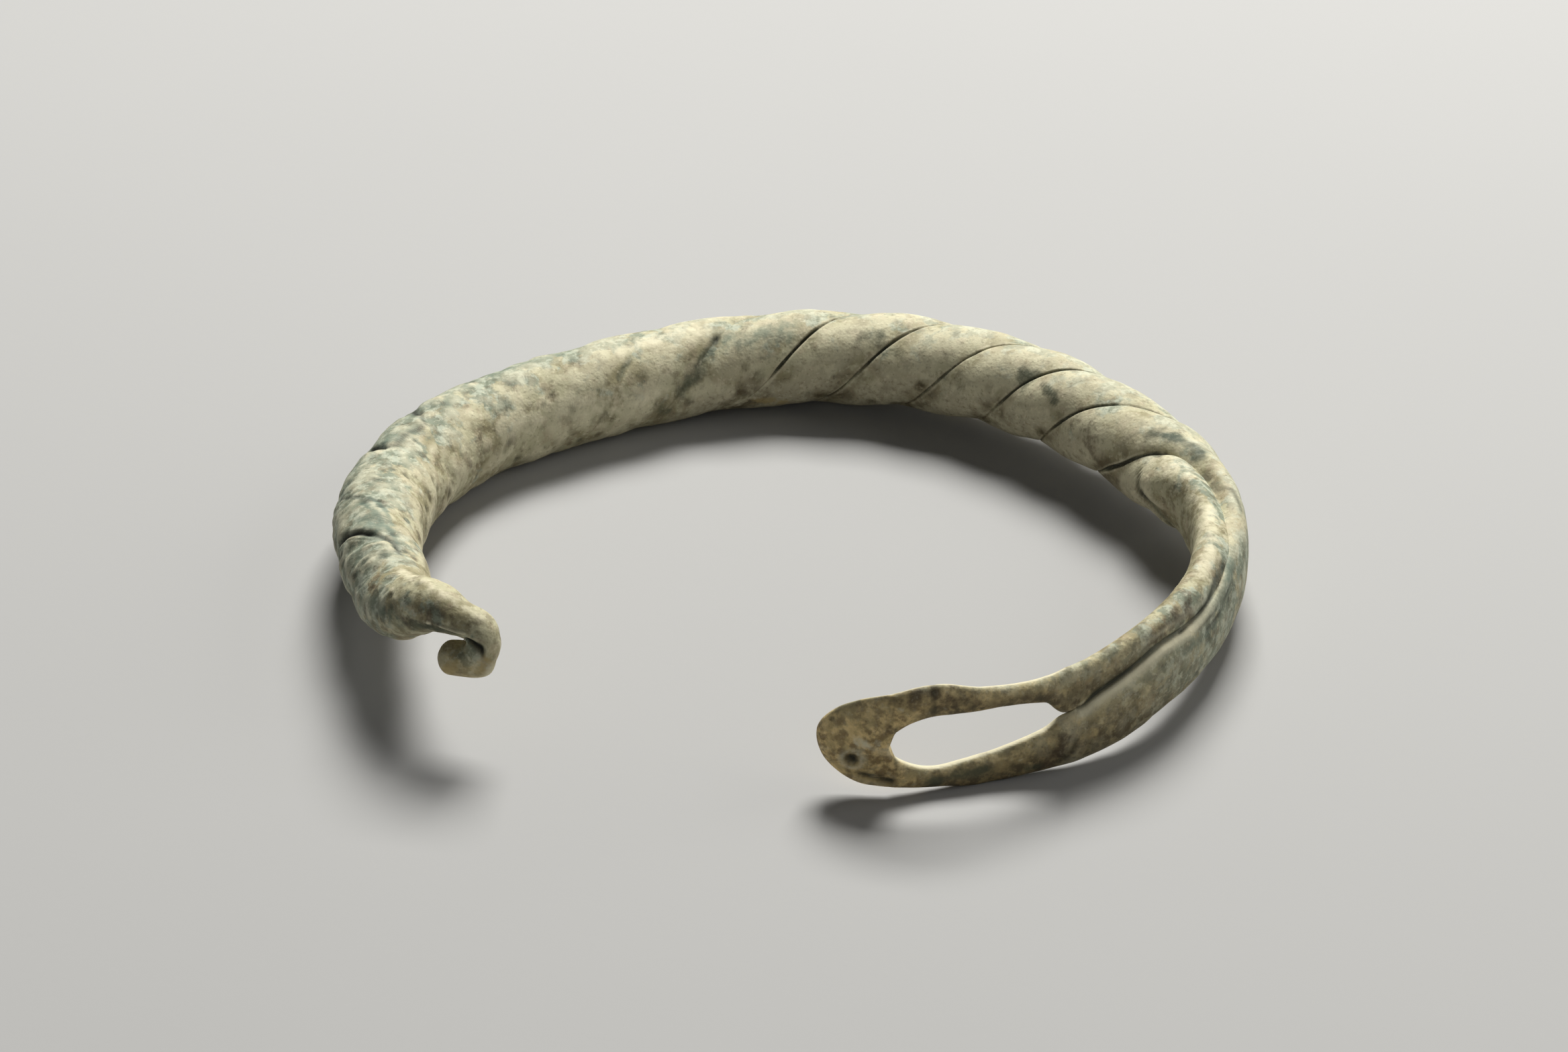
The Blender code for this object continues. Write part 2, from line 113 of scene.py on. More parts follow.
# The two strands that run on, from where they leave the twist to the end of
# the slot: bearing, height of the line between them, half the gap between
# them (below zero while they overlap), then how far out each one's middle is
# from the centre line, its half thickness, and its free edge's height. The
# inner strand becomes the upper bar.
BARS = (
    (16, 5.10, -3.10, -1.70, 1.70, 8.6, 1.20, 1.70, 1.50),
    (6, 5.45, -2.85, -1.60, 1.50, 8.6, 1.25, 1.60, 1.40),
    (-2, 5.60, -2.80, -1.25, 1.30, 8.7, 1.15, 1.35, 1.40),
    (-10, 5.85, -2.45, -1.00, 1.20, 8.9, 1.05, 1.20, 1.30),
    (-20, 6.35, -1.35, -0.55, 1.25, 9.2, 0.60, 1.35, 1.20),
    (-30, 6.80, -0.55, -0.35, 1.12, 9.22, 0.35, 1.28, 1.40),
    (-38, 7.05, -0.45, -0.38, 0.98, 9.20, 0.38, 1.12, 1.44),
    (-44, 6.25, -0.45, -0.30, 0.90, 8.92, 0.45, 1.02, 1.04),
    (-48, 5.55, -0.45, -0.22, 0.82, 8.60, 0.50, 0.96, 0.72),
    (-51.5, 4.80, -0.40, -0.10, 0.76, 8.48, 0.45, 0.90, 0.50),
    (-56, 5.10, 1.33, 0.30, 0.62, 8.48, 0.10, 0.78, 0.26),
    (-64, 4.80, 2.30, 0.58, 0.53, 8.98, -0.28, 0.61, 0.02),
    (-70, 4.45, 2.40, 0.20, 0.52, 9.5, -0.20, 0.56, 0.40),
    (-76.5, 4.40, 2.10, 0.00, 0.58, 8.7, 0.00, 0.58, 0.70),
)
SLOT_END = 4.0  # length over which the slot's closed end rounds off
BAR_SQUARE = 2.2  # 2 would make the bars' sections ellipses; higher is squarer
SPLIT_BEARING = -51.5
MERGE_BEARING = -76.5
CROWDING = 0.40  # how much closer together than elsewhere the columns are at the grooves
PARTING = (15.0, -3.0)  # bearings between which the three strands become two bars
HEAD_ROUND = 4.0  # length over which the head's outline closes
HEAD_EDGE = 1.0  # the same for its thickness
# Height that the head's upper half loses for each millimetre towards the tip.
# The lower half loses half as much.
HEAD_TAPER = 0.20
HEAD_LIFT = 0.35  # how much higher the head's middle line is at the tip than at the slot
BARS_FROM_HEAD = 0.6  # length over which the bars' sections leave the head's
BARS_TO_BODY = 2.4  # and over which they join the twisted body's
GROUND_FLAT = 0.14  # how much of the underside is worn off flat, where the bracelet lies

# The fine mesh: columns round a strand, columns across a slot wall, and the
# length of a row along the rod, where its crust is thick, along the bars and
# round the curl.
STRAND_COLUMNS = 39
WALL_COLUMNS = 12
ROW = 0.26
CRUST_ROW = 0.19
BAR_ROW = 0.2
CURL_ROW = 0.14
CRUST_BEARING = 112.0  # beyond this bearing the crust is thick
CURL_LEAD = 1.5  # the curl's shorter rows start this far before it
TIP_ROWS = 12  # over the rounded end of the curl
TIP_BLUNT = 0.8  # how far that end stands out, as a share of its radius
HEAD_ROWS = 24  # over the head's rounded tip
SLOT_END_TURNS = (0, 70, 4)  # angles of the rows round the slot's closed end: first, limit, step
NO_SEAM = 99.0  # distance to a groove where there is none

# The grooves between the strands by bearing: how deep the narrow cut at the
# bottom of each is, how dark with dirt and painted shade, and how far the groove
# is filled up, or worn down where this is below zero.
SEAM_CUT = (
    (-51, 0.08, 0.45, -0.04), (-44, 0.08, 0.50, -0.06), (-36, 0.06, 0.40, -0.02), (-27, 0.05, 0.22, 0.16),
    (-20, 0.03, 0.12, 0.45), (-10, 0.02, 0.06, 0.70), (2, 0.03, 0.10, 0.58),
    (10, 0.10, 0.30, 0.05), (14, 0.10, 0.30, 0.00), (25, 0.06, 0.17, 0.05), (60, 0.05, 0.12, 0.07),
    (85, 0.04, 0.10, 0.09), (98, 0.03, 0.08, 0.12), (112, 0.01, 0.02, 0.15), (128, 0.00, 0.00, 0.14),
    (200, 0.00, 0.00, 0.10),
)
# Half widths of the cut, of the filling and of the dark green along it, how far
# the cut wanders, and how much deeper it is at a mark of strength 1.
SEAM_WIDTH = 0.13
SEAM_FILL_WIDTH = 0.9
SEAM_MOSS_WIDTH = 0.6
SEAM_WANDER = 0.10
SEAM_DEEPEST = 0.55
# Below this bearing only two grooves are left, because the third strand ends.
STUMP_BEARING = 14.0
# The broken end of the third strand: it runs from the inner side down to the
# underside, as bearing and angle round the section.
STUMP_EDGE = ((9.9, 150), (9.4, 158), (8.6, 167), (8.0, 178), (6.2, 188), (5.4, 205), (4.0, 222), (3.2, 250))
STUMP_GROOVE = 0.32  # depth of the groove along the broken edge
STUMP_STEP = 0.28  # how much lower the surface is beyond it
STUMP_BALL = 0.22  # height of the rounded start of the inner strand

FINEST = 0.20  # no cut, ridge or patch is narrower than this
OUT_OF_REACH = 9.0  # added to a mark's distance on the faces that it isn't on
FINGER_REACH = 2.4  # the finger's radius, for the places of the marks on it

# Distances from the eye's tip between which the wear and the colours change.
CLEAN_EYE = (14, 28)
THICK_CRUST = (96, 132)
WORN_HOOK = (156, 159)
GREEN_SIDE = (95, 135)
BROWN_HOOK = (150, 156)
OLIVE_EYE = (9, 35)
OLIVE_CURL = (162.5, 165)
# The next two: painted highlight along the bars' upper edges, which are also rubbed pale, and along the edge
# beside the slot's far end.
RIM_HIGHLIGHT = (24, 28)  # the bars' upper edges
LEDGE_HIGHLIGHT = (30, 37)  # the edge beside the slot's far end
# How much of the dark green in the hollows is left, by distance from the tip.
HOLLOWS = ((32, 1.0), (38, 0.25), (50, 0.25), (55, 1.0))
# How strongly painted shade darkens the faces that look down, in the same way.
SHADE_BELOW = (
    (0, 0.0), (6, 0.2), (10, 1.9), (20, 1.9), (28, 0.8), (38, 0.2), (50, 0.3), (62, 1.5),
    (95, 1.9), (106, 0.45), (120, 0.35), (132, 0.4), (150, 0.2), (157, 0.3), (163, 0.1),
)

# Marks on the rod: kind, half width, strength, then the places that it runs
# through, as the distance along the centre line from the eye's tip and the
# angle round the section.
ROD_MARKS = (
    # deep stretches of the grooves
    ("seam", 0.8, 0.60, ((93.6, 158), (91.7, 130), (90.9, 116))),
    ("fill", 0.8, 0.14, ((94.9, 178), (96.2, 196), (97.6, 214))),
    ("seam", 0.6, 0.22, ((90.9, 116), (89.2, 84))),
    ("seam", 0.6, 0.10, ((88.6, 214), (85.7, 156))),
    ("seam", 0.7, 0.42, ((85.3, 148), (83.9, 118), (82.7, 91))),
    ("seam", 0.8, 0.20, ((80.2, 205), (79.2, 179), (76.5, 119), (73.5, 72))),
    ("seam", 0.7, 0.35, ((71.5, 168), (70.0, 129), (67.2, 62))),
    ("seam", 0.7, 0.45, ((65.6, 178), (64.0, 150), (62.7, 106))),
    ("seam", 0.6, 0.30, ((62.7, 106), (60.5, 54))),
    ("seam", 0.7, 0.55, ((59.6, 190), (58.2, 176), (57.2, 160))),
    ("cut", 0.20, 0.09, ((50.6, 88), (49.8, 85))),
    ("cut", 0.20, 0.04, ((49.2, 84), (48.0, 82), (47.5, 68), (46.2, 64), (45.0, 60))),
    # pits and dark places of the back
    ("pit", 0.30, 0.24, ((99.0, 112),)),
    ("valley", 0.75, 0.15, ((99.2, 116), (101.2, 144), (102.6, 168))),
    ("valley", 0.42, 0.11, ((107.0, 117), (107.7, 126), (108.6, 137))),
    ("moss", 1.0, 0.8, ((101.0, 150), (103.4, 176))),
    ("moss", 0.9, 0.7, ((105.2, 189), (104.4, 200))),
    ("moss", 0.7, 0.6, ((91.2, 200),)),
    ("moss", 0.8, 0.75, ((84.9, 118), (86.4, 124))),
    ("moss", 0.75, 0.95, ((71.0, 129), (69.9, 122), (70.4, 140))),
    ("moss", 0.55, 0.95, ((68.6, 131), (67.2, 137), (66.8, 143))),
    ("umber", 0.8, 0.5, ((95.5, 196), (97.5, 190))),
    ("sand", 0.7, 0.8, ((93.0, 218), (96.0, 212))),
    ("pale", 1.6, 0.65, ((106.9, 101), (103.9, 100), (100.2, 95))),
    ("teal", 1.9, 0.60, ((98.4, 112), (95.4, 124), (92.9, 116))),
    ("moss", 1.2, 0.35, ((97.4, 130), (95.0, 140))),
    ("pale", 0.8, 0.35, ((97.6, 206), (95.4, 196))),
    ("moss", 0.8, 0.55, ((86.2, 119), (84.7, 130), (82.7, 141))),
    # the stump, and the ball that the inner strand starts with
    ("pit", 0.34, 0.22, ((54.0, 181), (53.6, 186))),
    ("pit", 0.24, 0.20, ((54.7, 126),)),
    ("moss", 1.0, 0.95, ((56.6, 111), (55.6, 99), (54.6, 90), (53.2, 84), (52.4, 84))),
    ("teal", 0.75, 0.85, ((55.8, 100), (54.6, 90))),
    ("moss", 0.7, 0.22, ((54.4, 150), (52.6, 158))),
    # pale here is painted light where this face turns away from the lamps
    ("pale", 1.4, 0.60, ((54.6, 128), (52.4, 122), (49.6, 112))),
    ("moss", 0.7, 0.35, ((49.8, 186), (46.0, 196))),
    # along the two strands
    ("teal", 0.9, 0.85, ((38.4, 66), (37.2, 58), (35.5, 52), (33.0, 44), (31.0, 40))),
    ("teal", 0.8, 0.65, ((33.6, 352), (31.0, 348), (29.2, 340))),
    ("moss", 0.7, 0.75, ((34.2, 12), (32.9, 345), (32.4, 326))),
    ("cut", 0.26, 0.14, ((37.4, 76), (35.4, 73), (33.9, 67), (31.6, 60), (30.3, 55), (29.3, 50))),
    ("cut", 0.15, 0.10, ((37.6, 44), (35.6, 38), (33.2, 28), (31.4, 20))),
    ("cut", 0.14, 0.10, ((36.6, 24), (34.6, 16), (32.4, 4))),
    ("ridge", 0.25, 0.10, ((36.4, 56), (34.4, 50), (32.0, 42), (30.2, 32))),
    ("pit", 0.26, 0.22, ((29.5, 51),)),
    ("ridge", 0.42, 0.30, ((19.6, 8), (22.2, 13), (25.3, 22), (28.0, 28))),
    ("umber", 1.0, 0.75, ((30.6, 80), (28.6, 78), (26.4, 72))),
    ("pale", 1.1, 0.70, ((44.0, 108), (41.0, 104), (38.0, 95), (34.5, 92))),
    ("pale", 1.0, 0.50, ((52.0, 130), (48.0, 122), (44.0, 112))),
    ("umber", 1.5, 0.40, ((61.0, 172), (63.4, 150))),
    # the back left, where the crust hides the grooves
    ("teal", 1.6, 0.60, (
        (137, 28), (133, 42), (129.7, 50), (126, 57), (123, 66), (119.7, 68), (116, 72), (112, 72),
    )),
    ("teal", 1.4, 0.50, ((146.0, 84), (147.2, 33))),
    ("cut", 0.20, 0.05, ((119.0, 50), (119.6, 76))),
    ("grain", 0.45, 0.16, ((119.7, 76),)),
    ("cut", 0.30, 0.22, ((124.6, 46), (125.2, 58), (125.8, 70))),
    ("cut", 0.20, 0.05, ((125.8, 70), (126.2, 80), (127.6, 98))),
    ("ridge", 0.40, 0.14, ((127.0, 84), (127.9, 99))),
    ("cut", 0.34, 0.38, ((130.6, 42), (131.1, 56), (131.6, 70))),
    ("cut", 0.22, 0.06, ((131.6, 70), (131.4, 88), (129.2, 90), (128.2, 97))),
    ("ridge", 0.55, 0.16, ((132.0, 44), (132.4, 60), (132.6, 72))),
    ("teal", 1.3, 0.75, ((130.6, 50), (130.9, 62), (130.2, 76))),
    ("cut", 0.20, 0.04, ((137.2, 28), (139.2, 56), (140.7, 82))),
    ("teal", 0.34, 0.95, ((140.7, 70), (141.4, 79), (142.7, 86), (144.2, 93), (145.7, 102), (147.4, 108))),
    ("teal", 0.34, 0.95, ((140.2, 80), (141.2, 91), (142.8, 99), (144.7, 107))),
    ("ridge", 0.30, 0.05, ((140.8, 80), (142.6, 92), (144.6, 101))),
    ("teal", 1.1, 0.80, ((143.6, 70), (145.2, 86))),
    ("cut", 0.26, 0.38, ((142.6, 10), (143.2, 30), (144.4, 56), (145.4, 74))),
    ("cut", 0.24, 0.14, ((145.4, 74), (146.4, 90), (147.6, 102), (149.4, 105))),
    ("ridge", 0.42, 0.16, ((147.0, 62), (147.4, 86), (148.6, 97))),
    ("moss", 0.7, 0.60, ((146.4, 34), (148.2, 66), (149.2, 88))),
    ("sand", 1.1, 0.55, ((151.4, 70), (152.8, 50), (153.0, 40))),
    ("umber", 0.9, 0.60, ((152.4, 58), (153.0, 40))),
    # pale here is painted light on the inner side, low down
    ("pale", 1.8, 0.55, ((105.5, 170), (113.1, 154), (120.0, 150))),
    # the finger and the hook
    ("teal", 1.3, 0.55, ((153.6, 22), (155.4, 10), (155.6, 350))),
    ("moss", 1.0, 0.45, ((153.2, 14), (155.8, 356))),
    ("pale", 0.26, 0.6, ((155.2, 56), (155.9, 40), (156.8, 24))),
    # pale crust, with a painted highlight along the finger's top
    ("pale", 0.8, 0.6, ((154.0, 96), (156.6, 92), (159.4, 84), (161.4, 76))),
    ("pale", 0.6, 0.5, ((149.2, 66), (149.8, 50), (149.6, 34))),
    ("umber", 1.1, 0.45, ((157.4, 32), (158.6, 14), (160.0, 24), (161.8, 34))),
    ("umber", 0.8, 0.6, ((156.8, 350), (158.4, 342), (160.4, 8))),
    ("moss", 0.9, 0.9, ((157.6, 334), (160.2, 332))),
    # the finger's lower lip: a ridge, with a painted highlight along it
    ("ridge", 0.22, 0.20, ((159.9, 352), (160.8, 350), (161.4, 356))),
    ("pale", 0.15, 0.7, ((159.9, 352), (160.8, 350), (161.4, 356))),
    ("grain", 0.22, 0.12, ((158.9, 352),)),
    ("cut", 0.30, 0.45, ((162.2, 325), (162.8, 350), (163.2, 20))),
    ("sand", 0.7, 1.0, ((163.8, 30), (164.2, 66))),
    ("sand", 0.8, 0.9, ((166.4, 20), (165.6, 350))),
    # painted highlight on the top of the curl's end
    ("pale", 0.6, 0.9, ((163.4, 100), (164.4, 110), (165.6, 120))),
    ("pale", 0.8, 0.25, ((163.4, 10), (165.0, 20))),
    ("grain", 0.60, 0.42, ((164.2, 64),)),
)

# Marks on the outer face of the eye, in the same form, with heights in
# millimetres above the table in place of angles.
EYE_MARKS = (
    ("pit", 0.42, 0.42, ((2.75, 3.35), (2.85, 3.3))),
    ("ring", 0.66, 0.20, ((2.8, 3.25),)),
    ("cut", 0.22, 0.20, ((3.6, 2.0), (4.6, 1.65), (5.5, 1.5))),
    ("pale", 0.6, 0.6, ((3.0, 5.0), (3.9, 4.6))),
    ("umber", 0.8, 0.5, ((4.6, 7.2), (5.2, 6.2))),
    ("umber", 1.1, 0.7, ((6.4, 8.6), (8.0, 8.8), (9.8, 8.4))),
    ("cut", 0.20, 0.05, ((8.35, 9.6), (8.4, 7.4))),
    ("moss", 0.8, 0.9, ((8.4, 1.2), (10.4, 1.4), (12.2, 1.5))),
    ("sand", 0.7, 0.5, ((13.2, 1.6), (15.0, 1.9))),
    ("umber", 0.8, 0.9, ((16.6, 1.3), (17.2, 2.2), (17.8, 3.0))),
    ("cut", 0.20, 0.03, ((18.6, 2.9), (18.1, 1.8), (17.2, 1.2))),
    ("moss", 0.5, 0.7, ((15.4, 1.0), (16.0, 1.1))),
    ("umber", 0.7, 0.5, ((20.6, 8.2), (22.4, 8.8))),
    ("sand", 0.9, 0.5, ((1.2, 6.0), (1.6, 4.6))),
)


# --- Curves -----------------------------------------------------------------

def cubic(x, y, at):
    """Natural cubic spline through y at x."""
    x, y, at = (np.asarray(v, float) for v in (x, y, at))
    if y.ndim == 1:
        return cubic(x, y[:, None], at)[:, 0]
    gap = np.diff(x)
    slope = np.diff(y, axis=0) / gap[:, None]
    matrix = np.eye(len(x))
    inner = np.arange(1, len(x) - 1)
    matrix[inner, inner - 1] = gap[:-1]
    matrix[inner, inner] = 2 * (gap[:-1] + gap[1:])
    matrix[inner, inner + 1] = gap[1:]
    right = np.zeros_like(y)
    right[1:-1] = 3 * np.diff(slope, axis=0)
    bend = np.linalg.solve(matrix, right)
    k = np.clip(np.searchsorted(x, at, side="right") - 1, 0, len(x) - 2)
    t = (at - x[k])[:, None]
    wide = gap[k][:, None]
    linear = slope[k] - wide * (2 * bend[k] + bend[k + 1]) / 3
    return y[k] + t * (linear + t * (bend[k] + t * (bend[k + 1] - bend[k]) / (3 * wide)))


def steady(x, y, at):
    """Cubic through y at x that never overshoots, and stays level beyond the ends."""
    x, y, at = (np.asarray(v, float) for v in (x, y, at))
    if y.ndim == 1:
        return steady(x, y[:, None], at)[:, 0]
    at = np.clip(at, x[0], x[-1])
    gap = np.diff(x)[:, None]
    slope = np.diff(y, axis=0) / gap
    tangent = np.zeros_like(y)
    before, after = slope[:-1], slope[1:]
    same = before * after > 0
    left, right = gap[:-1] + 2 * gap[1:], 2 * gap[:-1] + gap[1:]
    with np.errstate(divide="ignore", invalid="ignore"):
        mean = (left + right) / (left / before + right / after)
    tangent[1:-1] = np.where(same, mean, 0.0)
    tangent[0], tangent[-1] = slope[0], slope[-1]
    k = np.clip(np.searchsorted(x, at, side="right") - 1, 0, len(x) - 2)
    wide = gap[k]
    t = (at - x[k])[:, None] / wide
    start = y[k] * (1 + 2 * t) * (1 - t) ** 2 + wide * tangent[k] * t * (1 - t) ** 2
    return start + y[k + 1] * t * t * (3 - 2 * t) + wide * tangent[k + 1] * t * t * (t - 1)


def ease(t):
    """0 to 1 with a soft start and a soft end."""
    t = np.clip(t, 0.0, 1.0)
    return t * t * (3 - 2 * t)


def rise(at, start, end):
    """0 before start and 1 after end, eased between. With the larger number first it falls instead."""
    return ease((at - start) / (end - start))


def unit(v):
    return v / np.linalg.norm(v, axis=-1, keepdims=True)


# --- The centre line --------------------------------------------------------

def line_knots():
    """Points of the centre line, from the eye's tip to the end of the curl."""
    points = []
    for bearing, distance, height in RING_LINE:
        a = math.radians(bearing)
        points.append((distance * math.cos(a), distance * math.sin(a), height))
    points += FINGER_LINE
    heading = unit(np.array(CURL_HEADING))
    down = np.array((0.0, CURL_LEAN, -1.0))
    down = unit(down - down.dot(heading) * heading)
    for a in np.radians(np.arange(0, 181, CURL_STEP)):
        turn = math.sin(a) * heading + (1 - math.cos(a)) * down
        points.append(tuple(np.array(CURL_TOP) + CURL_RADIUS * turn))
    points.append(tuple(np.array(points[-1]) - CURL_TAIL * heading + CURL_DROP * down))
    return np.array(points)


KNOTS = line_knots()
ALONG = np.concatenate([[0.0], np.cumsum(np.linalg.norm(np.diff(KNOTS, axis=0), axis=1))])
FINGER_START = len(RING_LINE)
CURL_START = FINGER_START + len(FINGER_LINE)
LENGTH = ALONG[-1]


def at_bearing(bearing):
    """How far along the centre line a bearing on the ring is."""
    bearings = [row[0] for row in RING_LINE]
    return cubic(bearings, ALONG[: len(RING_LINE)], np.atleast_1d(bearing))


MERGE, SPLIT, CRUST, STUMP = at_bearing((MERGE_BEARING, SPLIT_BEARING, CRUST_BEARING, STUMP_BEARING))


def by_bearing(table, s):
    """What a table says at distances s along the centre line. Its rows start with a bearing."""
    rows = np.array(sorted(table), float)
    return steady(at_bearing(rows[:, 0]), rows[:, 1:], s)


def axes(s):
    """The centre line at s: the point, and the outward and upward directions across it.

    Outwards is level and to the right of travel. Round the curl the heading is
    held, so that the section doesn't spin."""
    point = cubic(ALONG, KNOTS, s)
    travel = unit(cubic(ALONG, KNOTS, s + 1e-3) - cubic(ALONG, KNOTS, s - 1e-3))
    level = travel * (1, 1, 0)
    held = unit(np.array(CURL_HEADING))
    near = ease((s - ALONG[CURL_START] + HELD_BEFORE) / HELD_OVER)[:, None]
    level = np.where(near < 1, unit((1 - near) * level + near * held), held)
    out = np.stack([level[:, 1], -level[:, 0], 0 * s], axis=-1)
    out = unit(out - (out * travel).sum(1)[:, None] * travel)
    return point, out, np.cross(out, travel)


# --- Sections ---------------------------------------------------------------

def twist_angle(s):
    """Angle of the groove that leads the twist, in radians."""
    bearing, angle = np.array(TWIST).T
    along = at_bearing(bearing)
    past = bearing > RING_LINE[-1][0]
    along[past] = ALONG[FINGER_START - 1] + FINGER_STEP * (bearing[past] - RING_LINE[-1][0])
    return np.radians(steady(along, angle, s))


def rod_reach(s, angle):
    """Radius of the twisted rod: three round strands, which run into one finger."""
    along = at_bearing([row[0] for row in ROD_RADIUS])
    curl = ALONG[CURL_START] + np.array((0.0, 0.5, 1.0)) * math.pi * CURL_RADIUS
    along = np.concatenate([along, ALONG[FINGER_START:CURL_START], curl])
    radius = steady(along, [row[1] for row in ROD_RADIUS] + list(FINGER_RADIUS), s)[:, None]
    faded = ease((s - ALONG[FINGER_START] - FADE_FROM) / FADE_OVER)[:, None]
    spread = by_bearing(STRAND_SPREAD, s) * (1 - faded)
    strand = np.radians(120)
    off = (angle - twist_angle(s)[:, None]) % strand - strand / 2
    offset, round_ = spread * radius, (1 - spread) * radius
    return offset * np.cos(off) + np.sqrt(round_**2 - (offset * np.sin(off)) ** 2)


def bars(s):
    """The two bars' sections at s, each as (middle out, middle up, half thickness, half height)."""
    line, gap, n1, w1, top, n2, w2, bottom = by_bearing(BARS, s).T
    closing = np.clip(1 - (s - MERGE) / SLOT_END, 0, 1)
    gap = gap * np.sqrt(1 - closing**2)
    height = axes(s)[0][:, 2]
    upper = (n1, (top + line + gap) / 2 - height, w1, (top - line - gap) / 2)
    lower = (n2, (bottom + line - gap) / 2 - height, w2, (line - gap - bottom) / 2)
    return upper, lower


def squircle(turn):
    """Unit superellipse at each angle of turn."""
    c, s = np.cos(turn), np.sin(turn)
    return np.sign(c) * np.abs(c) ** (2 / BAR_SQUARE), np.sign(s) * np.abs(s) ** (2 / BAR_SQUARE)


def crossings(bar, other):
    """Where round a bar its outline comes out of the other bar, and where it goes back in."""
    n, u, w, h = bar
    n2, u2, w2, h2 = (np.asarray(v)[:, None] for v in other)
    towards = np.arctan2((other[1] - u) / h, (other[0] - n) / w)
    turn = towards[:, None] + np.radians(np.linspace(0, 360, 721))
    x, y = squircle(turn)
    x = n[:, None] + w[:, None] * x
    y = u[:, None] + h[:, None] * y
    over = np.abs((x - n2) / w2) ** BAR_SQUARE + np.abs((y - u2) / h2) ** BAR_SQUARE - 1
    row = np.arange(len(turn))
    found = []
    for change in ((over[:, :-1] <= 0) & (over[:, 1:] > 0), (over[:, :-1] > 0) & (over[:, 1:] <= 0)):
        k = change.argmax(axis=1) if not found else change.shape[1] - 1 - change[:, ::-1].argmax(axis=1)
        share = over[row, k] / (over[row, k] - over[row, k + 1])
        found.append(turn[row, k] + share * (turn[row, k + 1] - turn[row, k]))
    return found


def joined_bars(s, columns):
    """Offsets of the outline of both bars while they overlap, from the top groove round by the inner side."""
    upper, lower = bars(s)
    parts = []
    for bar, other, count in ((upper, lower, 2 * columns), (lower, upper, columns)):
        start, end = crossings(bar, other)
        turn = start[:, None] + (end - start)[:, None] * np.arange(count) / count
        x, y = squircle(turn)
        parts.append((bar[0][:, None] + bar[2][:, None] * x, bar[1][:, None] + bar[3][:, None] * y))
    return np.hstack([parts[0][0], parts[1][0]]), np.hstack([parts[0][1], parts[1][1]])


def column_turns(columns):
    """Angles of a ring's columns from the leading groove, closer together at the three grooves."""
    share = np.arange(3 * columns) / columns
    return 2 * math.pi / 3 * (share - CROWDING / (2 * math.pi) * np.sin(2 * math.pi * share))


def body_section(s, columns):
    """Offsets out and up of the body's rings, from the split to the end of the curl.

    The columns turn with the three strands. Where the strands part, each
    column's angle and reach pass over to the outline of the two bars."""
    angle = twist_angle(s)[:, None] + column_turns(columns)
    reach = rod_reach(s, angle)
    start, end = at_bearing(PARTING)
    near = s < start
    if near.any():
        x, y = joined_bars(s[near], columns)
        turned = np.unwrap(np.arctan2(y, x), axis=1)
        lap = np.round((angle[near] - turned).mean(axis=1) / (2 * math.pi)) * 2 * math.pi
        share = ease((start - s[near]) / (start - end))[:, None]
        angle[near] += share * (turned + lap[:, None] - angle[near])
        reach[near] += share * (np.hypot(x, y) - reach[near])
    return reach * np.cos(angle), reach * np.sin(angle)


def head_section(s, columns):
    """Offsets of the head's rings, from its tip to the slot: upper half first, then the lower."""
    line, _, _, thick, top, _, _, bottom = by_bearing(BARS, [MERGE])[0]
    slope = np.minimum(s - MERGE, 0) * HEAD_TAPER
    closed = np.sqrt(1 - np.clip(1 - s / HEAD_ROUND, 0, 1) ** 2)
    edge = np.sqrt(1 - np.clip(1 - s / HEAD_EDGE, 0, 1) ** 2)
    height = axes(s)[0][:, 2]
    middle = line + HEAD_LIFT * (1 - closed)
    turn = np.concatenate([
        math.pi * np.arange(2 * columns) / (2 * columns),
        math.pi + math.pi * np.arange(columns) / columns,
    ])
    x, y = squircle(turn)
    tall = np.where(y > 0, (top - line + slope)[:, None], (line - bottom + slope * 0.5)[:, None])
    return thick * edge[:, None] * x, (middle - height)[:, None] + tall * closed[:, None] * y


def outer_columns(columns):
    """The columns of a ring that run on into the upper bar's outer face, and into the lower bar's."""
    return np.arange(0, 2 * columns + 1), np.arange(2 * columns, 3 * columns + 1) % (3 * columns)


def bar_sections(s, columns, wall):
    """Offsets of the upper and the lower bar's rings, from the slot's closed end to the split.

    Each ring is the outer face, from one groove to the other, then the slot's
    wall back. At both ends the two walls lie on one straight line, where the
    bars join."""
    head = [v[0] for v in head_section(np.array([MERGE]), columns)]
    body = [v[0] for v in body_section(np.array([SPLIT]), columns)]
    from_head = ease((s - MERGE) / BARS_FROM_HEAD)[:, None]
    from_body = ease((SPLIT - s) / BARS_TO_BODY)[:, None]
    # Angles round each bar's section: those of its outer face, then those of its wall.
    sweeps = (
        (np.linspace(-45, 225, 2 * columns + 1), np.linspace(225, 315, wall + 1)[1:-1]),
        (np.linspace(135, 405, columns + 1), np.linspace(45, 135, wall + 1)[1:-1]),
    )
    rings = []
    for bar, index, (face, back) in zip(bars(s), outer_columns(columns), sweeps):
        n, u, w, h = (np.asarray(v)[:, None] for v in bar)
        share = np.linspace(0, 1, wall + 1)[1:-1]
        ring = []
        for axis in (0, 1):
            middle, half = ((n, w), (u, h))[axis]
            parts = []
            for turn in (face, back):
                parts.append(middle + half * squircle(np.radians(turn))[axis])
            ends_joined = []
            for joined in (head, body):
                edge = joined[axis][index]
                line = edge[-1] + (edge[0] - edge[-1]) * share
                ends_joined.append(np.concatenate([edge, line]))
            free = np.hstack(parts)
            held = (1 - from_head) * ends_joined[0] + from_head * free
            ring.append((1 - from_body) * ends_joined[1] + from_body * held)
        rings.append(ring)
    return rings


def placed(s, x, y):
    """Rings of points from offsets out and up across the centre line."""
    point, out, up = axes(s)
    return point[:, None] + x[..., None] * out[:, None] + y[..., None] * up[:, None]


def rows_between(start, end, step):
    return np.linspace(start, end, max(2, round((end - start) / step) + 1))


# --- Random fields ------------------------------------------------------------

